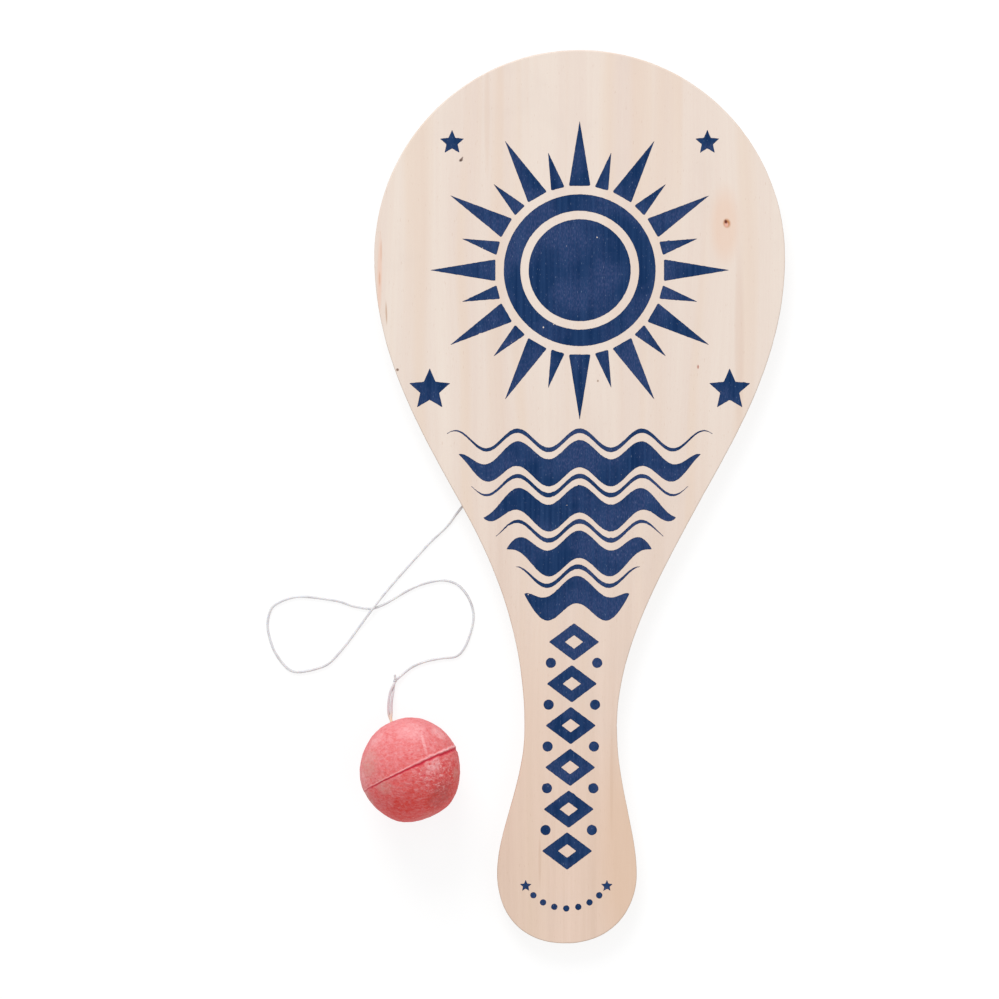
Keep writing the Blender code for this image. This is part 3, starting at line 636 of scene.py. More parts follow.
def galvanised_wire(look):
    """Zinc-coated steel wire, rolled flat: dull grey with brighter rubbed patches and fine
    scratches along the wire."""
    material, tree, shader = new_finish("galvanised_staple_wire", {"Metallic": 1.0})
    place = add_node(tree, "TexCoord").outputs["Object"]
    spangle = patchy(tree, place, 0.8, 0.35, 0.65, detail=4.0)
    colour = add_node(tree, "Mix", {"Factor": spangle, "A": look.zinc_dull, "B": look.zinc},
                      data_type="RGBA")
    rough = add_node(tree, "MapRange", {"Value": spangle, "To Min": 0.52, "To Max": 0.30})
    # Real scratches are too fine to show, and are drawn 0.05 mm wide.
    scratches = sized_noise(tree, place, (2, 0.05, 0.3))
    bump = add_node(tree, "Bump", {"Strength": 0.3, "Distance": 0.00001, "Height": scratches})
    set_inputs(tree, shader, {"Base Color": colour, "Roughness": rough, "Normal": bump})
    return material


def on_ball(x, y):
    """A place on top of the ball, given from its centre as seen from above."""
    return BALL_CENTRE + Vector((x, y, math.sqrt(max(BALL_RADIUS ** 2 - x ** 2 - y ** 2, 0))))


def bloomed_rubber(look):
    """Moulded red rubber that has bloomed and picked up dust: matt and chalky pink over coral red, paler
    towards the key lamp with thicker bloom and a painted highlight, torn in short pale streaks, deeper red
    in its pits and beside the rib, partly painted shade, and paler on the rib's upper side, worn skin with a
    painted highlight."""
    material, tree, shader = new_finish("bloomed_red_rubber", {
        "IOR": 1.5, "Specular IOR Level": 0.22, "Sheen Weight": 0.20, "Sheen Roughness": 0.42,
        "Sheen Tint": linear("ffd2d8"),
    })
    place = add_node(tree, "TexCoord").outputs["Object"]
    local = add_node(tree, "Mapping", {"Vector": place, "Location": -BALL_CENTRE})
    # The side towards the key lamp is paler: partly thicker bloom, partly a painted highlight.
    upper = add_node(tree, "VectorMath", {0: local, 1: BLOOM_AND_LIT_SIDE / SKIN_RADIUS},
                     operation="DOT_PRODUCT").outputs["Value"]
    upper = add_node(tree, "MapRange", {"Value": upper, "From Min": -0.75, "From Max": 0.95},
                     interpolation_type="SMOOTHSTEP")
    patches = patchy(tree, local, 6, 0.34, 0.66, detail=4.0, roughness=0.62, distortion=0.8)
    mottles = patchy(tree, local, 1.1, 0.36, 0.64, detail=3.0, roughness=0.7)
    smears = patchy(tree, local, 1.6, 0.34, 0.62, detail=5.0, roughness=0.75, distortion=1.2)
    # Crumbs lie in short curved streaks, the way the rubber tore as it left the mould.
    grains = sized_noise(tree, local, (1.4, 0.68, 0.75), 3.0, 0.66, 0.8, math.radians(28))
    powder_and_highlight = weighted_sum(tree, (patches, 0.27), (mottles, 0.34), (upper, 0.62))
    powder_and_highlight = add_node(tree, "MapRange", {"Value": powder_and_highlight, "From Min": 0.20, "From Max": 1.06})
    layers = [(powder_and_highlight, look.powder_and_highlight)]
    torn_x, torn_y, torn_width, torn_height, torn_turn = BALL_TORN
    torn = mark_mask(tree, place, on_ball(torn_x, torn_y), torn_width, torn_height, torn_turn, torn_width)
    torn = add_node(tree, "MapRange", {"Value": torn, "To Min": 0.38})
    for low, high, tint, strength in ((0.47, 0.36, look.rubber_deep_and_shade, 0.60),
                                      (0.52, 0.68, look.bloom, 0.84)):
        streaks = add_node(tree, "MapRange", {"Value": grains, "From Min": low, "From Max": high,
                                              "To Max": strength})
        layers.append((add_node(tree, "Math", {0: streaks, 1: torn}, operation="MULTIPLY"), tint))
    spots = [(x, y, reach, reach, 0.0, kind, strength) for x, y, reach, kind, strength in DUST_SPOTS]
    for x, y, half_width, half_height, turn, kind, strength in spots + [(*BALL_SCRATCH, "bloom", 1.0)]:
        spot = mark_mask(tree, place, on_ball(x, y), half_width, half_height, turn, half_height)
        spot = add_node(tree, "Math", {0: spot, 1: smears}, operation="MULTIPLY")
        spot = add_node(tree, "Math", {0: spot, 1: strength}, operation="MULTIPLY")
        layers.append((spot, getattr(look, kind)))
    # Deeper red in the groove and pits is painted shade over the rubber's own colour, and the pale on the
    # rib's upper side is worn skin and a painted highlight.
    for name, tint in (("sunk_and_shaded", look.rubber_deep_and_shade), ("rubbed_and_lit", look.bloom)):
        layers.append((add_node(tree, "Attribute", attribute_name=name).outputs["Fac"], tint))
    colour = look.rubber
    for mask, tint in layers:
        colour = add_node(tree, "Mix", {"Factor": mask, "A": colour, "B": tint}, data_type="RGBA")
    rough = add_node(tree, "MapRange", {"Value": powder_and_highlight, "To Min": 0.60, "To Max": 0.88})
    crumbs = sized_noise(tree, local, 0.35, 3.0)
    crumbs = weighted_sum(tree, (crumbs, 1.0), (grains, 1.4), (mottles, 0.3))
    bump = add_node(tree, "Bump", {"Strength": 0.9, "Distance": 0.00013, "Height": crumbs})
    set_inputs(tree, shader, {"Base Color": colour, "Roughness": rough, "Normal": bump})
    return material


def board_outline():
    """Points round the board's edge at even steps, in the row frame."""
    half, half_butt = BLADE_WIDTH / 2, BUTT_WIDTH / 2
    slope = Vector((SHOULDER_SLOPE, 1)) * SHOULDER_EASE
    # Down the right side: place, lean, and the handles that the curve comes in and goes out by.
    right = [
        (0, BOARD_LENGTH, 0, (-half * QUARTER_ELLIPSE, 0), (half * QUARTER_ELLIPSE, 0)),
        (half, BOARD_LENGTH - WIDEST_FROM_TOP, 0,
         (0, WIDEST_FROM_TOP * QUARTER_ELLIPSE), (0, -BLADE_EASE)),
        (SHOULDER_WIDTH / 2, SHOULDER_Y, 0, slope, -slope),
        (WAIST_WIDTH / 2, WAIST_Y, WAIST_LEAN, (0, WAIST_EASE_UP), (0, -WAIST_EASE_DOWN)),
        (half_butt, BUTT_Y, BUTT_LEAN, (0, BUTT_EASE), (0, -BUTT_Y * QUARTER_ELLIPSE)),
        (0, 0, END_LEAN, (half_butt * BUTT_FULLNESS, 0), (-half_butt * BUTT_FULLNESS, 0)),
    ]
    knots = [(x - lean, y, before, after) for x, y, lean, before, after in right]
    for x, y, lean, before, after in reversed(right[1:-1]):
        knots.append((-x - lean, y, (-after[0], after[1]), (-before[0], before[1])))
    line = []
    for (x, y, _, leaving), (to_x, to_y, arriving, _) in zip(knots, knots[1:] + knots[:1]):
        bend = [on_board(x, y), on_board(x + leaving[0], y + leaving[1]),
                on_board(to_x + arriving[0], to_y + arriving[1]), on_board(to_x, to_y)]
        line += geometry.interpolate_bezier(*bend, OUTLINE_BEND_STEPS)[:-1]
    return even_points([place.to_3d() for place in line], OUTLINE_STEP, closed=True)


def half_width_at(outline, y):
    """Half the board's width at a height above the butt's end, and its centre's lean there."""
    row = [place.x - BOARD_ZERO.x for place in outline if abs(place.y - BOARD_ZERO.y - y) < OUTLINE_STEP]
    return (max(row) - min(row)) / 2, (max(row) + min(row)) / 2


def raise_slab(shape, thickness):
    """Give flat faces their thickness, upwards, and return the faces on top."""
    raised = bmesh.ops.extrude_face_region(shape, geom=shape.faces[:])["geom"]
    lifted = [item for item in raised if isinstance(item, bmesh.types.BMVert)]
    bmesh.ops.translate(shape, verts=lifted, vec=(0, 0, thickness))
    return [item for item in raised if isinstance(item, bmesh.types.BMFace)]


def roughen_edge(shape, board, tooth, set_in, seed):
    """Let the cut edge wander, stand back and show its fibres."""
    shape.normal_update()
    moves = []
    for vert in shape.verts:
        out = Vector((vert.normal.x, vert.normal.y, 0))
        if out.length < 0.2:      # on the flat, away from the edge
            continue
        place = vert.co
        wave = noise.noise(place / EDGE_WAVE_LENGTH + Vector((0, 0, seed)))
        nick = noise.noise(place * IN_PLAN / EDGE_NICK_LENGTH + Vector((seed, 0, 0)))
        fibre = noise.noise(Vector((place.x / EDGE_FIBRE_WIDTH, place.y / EDGE_FIBRE_WIDTH,
                                    place.z / EDGE_FIBRE_HEIGHT)))
        wave -= EDGE_NICK_DEPTH * max(nick - EDGE_NICK_FROM, 0)
        far = board.edge_wave * wave + tooth * fibre - set_in
        moves.append((vert, out.normalized() * far * out.length))
    for vert, move in moves:
        vert.co += move


def make_ply(name, low_z, high_z, board, outline, material, replaced, rims, tooth, set_in, seed):
    """One ply: the outline as a slab with fine, roughened walls, and a rounded rim where sanded."""
    shape = bmesh.new()
    ring = bmesh.ops.create_circle(shape, cap_ends=True, segments=len(outline), radius=1.0)["verts"]
    for vert, place in zip(ring, outline):
        vert.co = (place.x, place.y, low_z)
    raise_slab(shape, high_z - low_z)
    bmesh.ops.recalc_face_normals(shape, faces=shape.faces)
    rim = [edge for edge in shape.edges for rim_z in rims
           if all(abs(vert.co.z - rim_z) < 1e-6 for vert in edge.verts)]
    bmesh.ops.bevel(shape, geom=rim, offset=board.rim_round, offset_type="OFFSET", segments=4,
                    profile=0.5, affect="EDGES", material=-1, clamp_overlap=False)
    walls = [edge for edge in shape.edges if abs(edge.verts[0].co.z - edge.verts[1].co.z) > WALL_STEP * 2]
    if walls:
        rows = round(walls[0].calc_length() / WALL_STEP)
        bmesh.ops.subdivide_edges(shape, edges=walls, cuts=rows - 1)
    roughen_edge(shape, board, tooth, set_in, seed)
    for face in shape.faces:
        face.smooth = abs(face.normal.z) < 0.999
    piece_from(shape, name, material, "paddle", replaced, smooth=False)


class PADDLEBALL_OT_board(Operator):
    """Build the three plies of the board and the glue between them"""

    bl_idname = "paddle_ball.build_board"
    bl_label = "Build Board"

    def execute(self, context):
        board = context.scene.paddle_board
        outline = board_outline()
        face = basswood("sanded_basswood_face", board, FACE_MARKS)
        back = basswood("sanded_basswood_back", board, BACK_MARKS, shift=(0.31, 0.17, 0.0))
        core = basswood("cut_basswood_core", board, (), lengthwise=False, shift=(0.05, 0.43, 0.0))
        # The last value of each sets how its edge wanders apart from the others.
        make_ply("face_ply", FACE_LOW.z, FACE_HIGH.z, board, outline, face,
                 ("front_veneer",), (FACE_HIGH.z,), board.edge_tooth, 0.0, 1.7)
        make_ply("cross_ply", CORE_LOW.z, CORE_HIGH.z, board, outline, core,
                 ("core_veneer",), (), board.edge_tooth * 2, board.core_set_in, 5.1)
        make_ply("back_ply", BACK_LOW.z, BACK_HIGH.z, board, outline, back,
                 ("back_veneer",), (BACK_LOW.z,), board.edge_tooth, 0.0, 9.3)
        glue = dried_glue(board)
        for name, low_z, high_z in (("glue_under_face", CORE_HIGH.z, FACE_LOW.z),
                                    ("glue_over_back", BACK_HIGH.z, CORE_LOW.z)):
            make_ply(name, low_z, high_z, board, outline, glue, (), (),
                     board.edge_tooth, board.glue_set_in, 3.3)
        return {"FINISHED"}


def ring_of(count, radius_at, centre, turn=0.0):
    """Plan points round a centre, each at the radius that radius_at gives for its number."""
    points = []
    for number in range(count):
        angle = turn + math.tau * number / count
        points.append((centre[0] + radius_at(number) * math.cos(angle),
                       centre[1] + radius_at(number) * math.sin(angle)))
    return points


def disc_of(count, radius, centre):
    return ring_of(count, lambda number: radius, centre)


def star(centre, outer, inner, tips=5):
    return ring_of(tips * 2, lambda number: inner if number % 2 else outer, centre, math.pi / 2)


def add_loop(shape, points, corner=0.0):
    """A closed loop of edges through plan points on the board, its sharp corners rounded."""
    verts = bmesh.ops.create_circle(shape, cap_ends=False, segments=len(points), radius=1.0)["verts"]
    # They come in any order once an earlier loop's bevel has freed some places in the mesh.
    verts.sort(key=lambda vert: math.atan2(vert.co.y, vert.co.x))
    for vert, (x, y) in zip(verts, points):
        vert.co = on_board(x, y)
    sharp = [vert for vert, before, after in zip(verts, verts[-1:] + verts, verts[1:] + verts[:1])
             if (vert.co - before.co).angle(after.co - vert.co) > SHARP_TURN]
    if corner and sharp:
        bmesh.ops.bevel(shape, geom=sharp, offset=corner, offset_type="OFFSET", segments=4,
                        profile=0.5, affect="VERTICES", material=-1, clamp_overlap=True)


def feather_edges(shape, look):
    """Break the loops into short edges, and let them waver and creep along the grain."""
    wanted = {}
    for edge in shape.edges:
        cuts = math.ceil(edge.calc_length() / INK_STEP) - 1
        if cuts > 0:
            wanted.setdefault(cuts, []).append(edge)
    for cuts in sorted(wanted):
        bmesh.ops.subdivide_edges(shape, edges=wanted[cuts], cuts=cuts)
    for vert in shape.verts:
        place = vert.co.copy()
        vert.co.x += WAVER * noise.noise(place / WAVER_LENGTH)
        fibre = Vector((place.x / FIBRE_WIDTH, place.y / FIBRE_LENGTH, 2.0))
        vert.co.y += look.feather * noise.noise(fibre)
        vert.co.y += WAVER * noise.noise(place / WAVER_LENGTH + Vector((7, 3, 1)))
        bleeding = noise.noise(place / BLEED_SIZE + Vector((2, 8, 4)))
        vert.co.y += BLEED * max(bleeding - BLEED_FROM, 0)


def ink_film(name, loops, look, material):
    """A film of ink that fills the loops, with a bead along its edge, lying on the face."""
    shape = bmesh.new()
    bead = shape.verts.layers.float.new("bead")
    for points, corner in loops:
        add_loop(shape, points, corner)
    feather_edges(shape, look)
    bmesh.ops.translate(shape, verts=shape.verts, vec=(0, 0, FACE_HIGH.z - look.film / 2))
    bmesh.ops.triangle_fill(shape, edges=shape.edges[:], use_beauty=True, use_dissolve=False,
                            normal=(0, 0, 1))
    top = raise_slab(shape, look.film)
    bmesh.ops.inset_region(shape, faces=top, thickness=INK_BEAD_WIDTH, depth=0.0, use_boundary=True)
    bmesh.ops.recalc_face_normals(shape, faces=shape.faces)
    walls = [face for face in shape.faces if abs(face.normal.z) < 0.5]
    rim = {vert for face in walls for vert in face.verts}
    for vert in shape.verts:
        vert[bead] = float(vert in rim)
        if vert not in rim and vert.co.z > FACE_HIGH.z:
            vert.co.z += look.film / 2
    piece_from(shape, name, material, "paddle", smooth=False)


def sun_loops(look):
    """A sun: a disc, a ring, and long and short rays in turn."""
    centre, rays, ray_corner = (0.0, 0.2110), 24, 0.0005
    middle, disc = Vector(centre), look.sun_disc
    ring_inside, ring_outside, foot = disc + 0.0026, disc + 0.0078, disc + 0.0104
    short_reach = foot + (look.sun_reach - foot) * 0.58
    loops = [(disc_of(96, disc, centre), 0.0)]
    loops += [(disc_of(120, radius, centre), 0.0) for radius in (ring_inside, ring_outside)]
    for number in range(rays):
        reach, half_foot = (look.sun_reach, 0.0034) if number % 2 == 0 else (short_reach, 0.0022)
        angle = math.pi / 2 + math.tau * number / rays
        out = Vector((math.cos(angle), math.sin(angle)))
        across = Vector((-out.y, out.x)) * half_foot
        ray = [middle + out * foot - across, middle + out * reach, middle + out * foot + across]
        loops.append((ray, ray_corner))
    return loops


def wave_loops(look, outline):
    """Broad waves that taper to their ends, with a thin line over each."""
    loops = []
    rows, top_y, pitch = 4, 0.1505, 0.0142
    wave_length, height, margin = 0.0195, 0.0030, 0.0065
    line_lift, line_band = 0.0072, 0.0015
    for row in range(rows):
        y = top_y - row * pitch
        for lift, band in ((0.0, look.wave_band), (line_lift, line_band)):
            half, lean = half_width_at(outline, y + lift)
            reach = half - margin
            count = round(2 * reach / WAVE_STEP)
            upper, lower = [], []
            for number in range(count + 1):
                x = reach * (2 * number / count - 1)
                crest = y + lift + height * math.cos(math.tau * x / wave_length)
                thick = band / 2 * max(1 - abs(x / reach) ** 3.2, 0) ** 0.8
                upper.append((x + lean, crest + thick))
                lower.append((x + lean, crest - thick))
            loops.append((upper + lower[-2:0:-1], 0.0))
    return loops


def handle_loops(look, outline):
    """Diamonds with open middles down the handle, with a pair of dots between each two."""
    loops = []
    rows, top_y, pitch, height = 6, 0.0945, 0.0131, 0.0118
    dot_radius, dot_out = 0.0016, look.diamond_width * 0.46
    for row in range(rows):
        y = top_y - row * pitch
        lean = half_width_at(outline, y)[1]
        for share, corner in ((1.0, 0.0004), (0.36, 0.0002)):
            wide, high = look.diamond_width / 2 * share, height / 2 * share
            diamond = [(lean + wide, y), (lean, y + high), (lean - wide, y), (lean, y - high)]
            loops.append((diamond, corner))
        if row < rows - 1:
            for side in (-1, 1):
                loops.append((disc_of(28, dot_radius, (lean + side * dot_out, y - pitch / 2)), 0.0))
    return loops


def butt_loops():
    """A row of dots that curves with the butt, between two small stars."""
    loops = []
    centre, radius, apart, last = (-0.0042, 0.0260), 0.0150, 14.5, 4
    for number in range(-last, last + 1):
        angle = math.radians(-90 + number * apart)
        place = (centre[0] + radius * math.cos(angle), centre[1] + radius * math.sin(angle))
        if abs(number) == last:
            loops.append((star(place, 0.0019, 0.0009), 0.0001))
        else:
            loops.append((disc_of(24, 0.0010, place), 0.0))
    return loops


def star_loops():
    """Stars beside the sun, where the blade is wide."""
    inner_share, corner = 0.46, 0.0003
    places = [(0.0470, 0.1735, 0.0068), (-0.0470, 0.1735, 0.0068),
              (0.0400, 0.2510, 0.0040), (-0.0400, 0.2510, 0.0040)]
    return [(star((x, y), outer, outer * inner_share), corner) for x, y, outer in places]


class PADDLEBALL_OT_print(Operator):
    """Print the sun, stars and waves on the blade and the diamonds on the handle"""

    bl_idname = "paddle_ball.print_face"
    bl_label = "Print Face"

    def execute(self, context):
        look = context.scene.paddle_print
        material = screen_ink(look, context.scene.paddle_board)
        outline = board_outline()
        ink_film("print_sun", sun_loops(look), look, material)
        ink_film("print_stars", star_loops(), look, material)
        ink_film("print_waves", wave_loops(look, outline), look, material)
        ink_film("print_handle", handle_loops(look, outline), look, material)
        ink_film("print_butt", butt_loops(), look, material)
        return {"FINISHED"}


def straight_bar(length, width, thickness, sides, step, squareness=1.0):
    """A straight bar along +X from the origin, round or squared, with eased ends, as a bmesh."""
    shape = bmesh.new()
    lie_down = Matrix.Translation((length / 2, 0, 0)) @ Matrix.Rotation(math.pi / 2, 4, "Y")
    bmesh.ops.create_cone(shape, cap_ends=True, cap_tris=False, segments=sides, radius1=0.5,
                          radius2=0.5, depth=length, matrix=lie_down)
    for vert in shape.verts:
        y, z = (math.copysign(abs(2 * share) ** squareness, share) for share in vert.co.yz)
        vert.co.yz = (y * width / 2, z * thickness / 2)
    rims = [edge for edge in shape.edges if abs(edge.verts[0].co.x - edge.verts[1].co.x) < length / 2]
    bmesh.ops.bevel(shape, geom=rims, offset=thickness * 0.28, offset_type="OFFSET", segments=3,
                    profile=0.5, affect="EDGES", material=-1, clamp_overlap=True)
    runs = [edge for edge in shape.edges if abs(edge.verts[0].co.x - edge.verts[1].co.x) > length / 2]
    bmesh.ops.subdivide_edges(shape, edges=runs, cuts=max(round(length / step), 1))
    return shape


def lay_along(mesh, points, side, swell=0.0):
    """Bend a straight bar along +X onto evenly spaced points, keeping its straight place as an
    attribute. The side is where its +Y goes at the start."""
    straight = mesh.attributes.new("straight", "FLOAT_VECTOR", "POINT")
    straight.data.foreach_set("vector", [value for vert in mesh.vertices for value in vert.co])
    frames = []
    before = None
    for number, point in enumerate(points):
        run = run_at(points, number)
        if before is not None:
            side = before.rotation_difference(run) @ side
        side = (side - run * side.dot(run)).normalized()
        frames.append((point, run, side, run.cross(side)))
        before = run
    step = line_length(points) / (len(points) - 1)
    for vert in mesh.vertices:
        along = vert.co.x / step
        number = min(max(int(along), 0), len(points) - 2)
        point, run, across, up = (start.lerp(end, along - number)
                                  for start, end in zip(frames[number], frames[number + 1]))
        thick = 1 + swell * noise.noise(Vector((vert.co.x / SWELL_LENGTH, 0.5, 0.5)))
        vert.co = point + (across * vert.co.y + up * vert.co.z) * thick


def cord_piece(name, points, diameter, material, body, replaced, side=UP, swell=0.07):
    """A round cord laid along the points. Given two bodies, it pays out evenly between them."""
    line = even_points(points, CORD_STEP)
    length = line_length(line)
    shape = straight_bar(length, diameter, diameter, CORD_SIDES, CORD_STEP)
    bodies = [body] if isinstance(body, str) else body
    piece = piece_from(shape, name, material, bodies[0] if len(bodies) == 1 else None,
                       replaced)
    if len(bodies) == 2:
        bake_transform(piece, *bodies, start=(0, 0, 0), end=(length, 0, 0))
    lay_along(piece.data, line, side, swell)
    return piece, line, length


def free_route(diameter):
    """The free cord's line: down from the staple, over itself at the crossing, up to the knot."""
    route = [PIVOT * IN_PLAN] + [STAPLE_PLAN + Vector((x, y, 0)) for x, y in CORD_ROUTE]
    arriving = ((KNOT_CENTRE - route[-1]) * IN_PLAN).normalized()
    knot_side = (KNOT_HIGH.x - KNOT_LOW.x) / 2 - KNOT_BITE
    route.append(KNOT_CENTRE * IN_PLAN - arriving * knot_side)
    line = even_points(smooth_line(route), CORD_STEP)
    step = line_length(line) / (len(line) - 1)
    crossing = STAPLE_PLAN + CROSSING_FROM_STAPLE
    first_run = line[:len(line) // 2]
    over = min(range(len(first_run)), key=lambda number: (first_run[number] - crossing).length)
    for number, point in enumerate(line):
        to_end = (len(line) - 1 - number) * step
        lift = (PIVOT.z - diameter / 2) * ease(1 - number * step / STAPLE_RAMP)
        lift += (diameter + CROSSING_GAP) * ease(1 - abs(number - over) * step / CROSSING_HALF_LENGTH)
        lift += (KNOT_CENTRE.z - diameter / 2) * ease(1 - to_end / KNOT_RAMP)
        point.z = diameter / 2 + lift
    return line


def strand_line(side, diameter):
    """One strand of the doubled cord, from the knot into the ball's bore.

    The two leave the knot one over the other, bow apart, and turn over again before the ball.
    """
    start = KNOT_CENTRE + STRAND_LEAVE.normalized() * (KNOT_HIGH.y - KNOT_LOW.y) * 0.3
    bend = [start, start + STRAND_LEAVE, BORE_MOUTH + BORE_OUT * STRAND_APPROACH, BORE_MOUTH]
    centre_line = [place.to_3d() for place in geometry.interpolate_bezier(*bend, 40)]
    centre_line.append(BORE_MOUTH - BORE_OUT * STRAND_IN_BALL)
    whole = line_length(centre_line)
    points = []
    along = 0.0
    for number, place in enumerate(centre_line):
        along += (place - centre_line[max(number - 1, 0)]).length
        run = run_at(centre_line, number)
        level = run.cross(UP).normalized()
        to_ball = whole - STRAND_IN_BALL - STRAND_EDGE_ON - along
        turned = ease(to_ball / STRAND_TWIST_LENGTH) - ease(along / STRAND_TWIST_LENGTH)
        turn = math.radians(90) * turned
        apart = level * math.cos(turn) + level.cross(run) * math.sin(turn)
        bow = 1 + STRAND_BOW * math.sin(math.pi * min(along / whole / STRAND_BOW_END, 1.0))
        points.append(place + apart * (side * (diameter + STRAND_GAP) / 2 * bow))
    return points


def wound_line(centre, axis, size, diameter, turns):
    """The line of a pulled-tight knot: a close winding about the axis, its ends tucked in."""
    axis = axis.normalized()
    across = axis.cross(UP).normalized()
    up = across.cross(axis)
    half_width, half_length, half_height = (size - Vector((diameter, diameter, diameter))) / 2
    steps = KNOT_STEPS_A_TURN * turns
    points = []
    for step in range(steps + 1):
        share = step / steps
        angle = math.tau * turns * share
        tuck = ease(min(share, 1 - share) * KNOT_TUCK)
        lean = KNOT_LEAN * math.sin(angle + KNOT_LEAN_START)
        along = half_length * (2 * share - 1 + lean) * (0.75 + 0.25 * tuck)
        points.append(centre + axis * along + across * (math.cos(angle) * half_width * tuck)
                      + up * (math.sin(angle) * half_height * tuck))
    return points


def tie_knot(name, low, high, axis, diameter, material, body, replaced, turns=3):
    """A wound knot in the room that its node's box gives."""
    line = wound_line((low + high) / 2, axis, high - low, diameter, turns)
    cord_piece(name, smooth_line(line, 3), diameter, material, body, replaced)


class PADDLEBALL_OT_ties(Operator):
    """Tie the knots at both ends of the cord, with their tails and the doubled strands"""

    bl_idname = "paddle_ball.tie_ends"
    bl_label = "Tie Cord Ends"

    def execute(self, context):
        look = context.scene.paddle_cord
        rubber = milky_elastic(look)
        self.tie_to_board(rubber, look.diameter)
        self.tie_to_ball(rubber, look.diameter)
        return {"FINISHED"}

    def tie_to_board(self, rubber, diameter):
        """The stretch that the staple pinches, the knot that stops the cord there and its tail."""
        radius = diameter / 2
        pinch, anchor = (PINCH_LOW + PINCH_HIGH) / 2, (ANCHOR_LOW + ANCHOR_HIGH) / 2
        pinched = [Vector((pinch.x, y, pinch.z)) for y in (ANCHOR_LOW.y + radius, PIVOT.y - radius / 2)]
        cord_piece("pinched_stretch", pinched, diameter, rubber, "paddle", ("pinched_cord",))
        tie_knot("anchor_tie", ANCHOR_LOW, ANCHOR_HIGH, Vector((0, 1, 0)), diameter * ANCHOR_THIN,
                 rubber, "paddle", ("anchor_knot",))
        tail = [Vector((pinch.x, TAIL_LOW.y - ANCHOR_TAIL_TUCK, anchor.z)),
                Vector((pinch.x + ANCHOR_TAIL_SWAY, (TAIL_LOW.y + TAIL_HIGH.y) / 2, radius * 1.3)),
                Vector((TAIL_HIGH.x - radius, TAIL_HIGH.y, radius))]
        cord_piece("anchor_end", smooth_line(tail, 6), diameter, rubber, "paddle", ("anchor_tail",))

    def tie_to_ball(self, rubber, diameter):
        """The knot near the ball and its tail, the loop's two strands and the knot in the ball."""
        snug = (KNOT_HIGH - KNOT_LOW) * KNOT_SNUG
        tie_knot("leash_knot", KNOT_LOW + snug, KNOT_HIGH - snug, KNOT_AXIS, diameter * KNOT_THIN,
                 rubber, "leash_end", ("ball_knot",))
        tip = Vector(((KNOT_TAIL_LOW.x + KNOT_TAIL_HIGH.x) / 2, KNOT_TAIL_HIGH.y - KNOT_TAIL_BACK,
                      KNOT_TAIL_HIGH.z - diameter / 2))
        stub = [KNOT_CENTRE + KNOT_TAIL_ROOT, KNOT_CENTRE.lerp(tip, KNOT_TAIL_KNEE), tip]
        cord_piece("leash_knot_end", smooth_line(stub, 6), diameter * KNOT_TAIL_THIN, rubber,
                   "leash_end", ("ball_knot_tail",))
        for end, side in (("left", 1), ("right", -1)):
            cord_piece("leash_strand_" + end, smooth_line(strand_line(side, diameter), 2), diameter,
                       rubber, "leash_end", ("loop_strand_" + end,))
        tie_knot("inner_knot", STOP_LOW, STOP_HIGH, BORE_OUT, diameter, rubber, "leash_end",
                 ("stop_knot",), turns=4)


class PADDLEBALL_OT_cord(Operator):
    """Lay the free cord from the staple to the knot near the ball"""

    bl_idname = "paddle_ball.lay_cord"
    bl_label = "Lay Cord"

    def execute(self, context):
        look = context.scene.paddle_cord
        cord, line, length = cord_piece("free_cord", free_route(look.diameter), look.diameter,
                                        milky_elastic(look), ("tether", "leash_end"), ("elastic_cord",))
        return {"FINISHED"}


class PADDLEBALL_OT_staple(Operator):
    """Bend the staple that holds the cord to the back of the blade"""

    bl_idname = "paddle_ball.bend_staple"
    bl_label = "Bend Staple"

    def execute(self, context):
        look = context.scene.paddle_staple
        half_wire = WIRE_THICKNESS / 2
        left, right = STAPLE_LOW.x + half_wire, STAPLE_HIGH.x - half_wire
        y, crown_z, tip_z = STAPLE_CENTRE.y, STAPLE_LOW.z + half_wire, STAPLE_HIGH.z
        corners = []
        for x, turn in ((left, 1), (right, -1)):
            centre = Vector((x + turn * look.bend, y, crown_z + look.bend))
            sweep = [centre + Vector((-turn * math.cos(angle), 0, -math.sin(angle))) * look.bend
                     for angle in (math.pi / 2 * step / WIRE_BEND_STEPS
                                   for step in range(WIRE_BEND_STEPS + 1))]
            corners.append(sweep if turn > 0 else sweep[::-1])
        line = [Vector((left, y, tip_z))] + corners[0] + corners[1] + [Vector((right, y, tip_z))]
        line = even_points(line, WIRE_STEP)
        shape = straight_bar(line_length(line), STAPLE_HIGH.y - STAPLE_LOW.y, WIRE_THICKNESS, WIRE_SIDES,
                             WIRE_STEP, WIRE_SQUARENESS)
        wire = piece_from(shape, "wire_staple", galvanised_wire(look), "paddle",
                          ("staple",))
        lay_along(wire.data, line, Vector((0, 1, 0)))
        return {"FINISHED"}


def rib_axes():
    """Columns along the rib's right end, away from the camera, and to the rib's upper side."""
    along = Vector((math.cos(RIB_HEADING), math.sin(RIB_HEADING), 0))
    across = Vector((-math.sin(RIB_HEADING), math.cos(RIB_HEADING), 0))
    top = across * math.sin(RIB_TILT) + Vector((0, 0, math.cos(RIB_TILT)))
    return Matrix((along, -top, top.cross(along))).transposed()


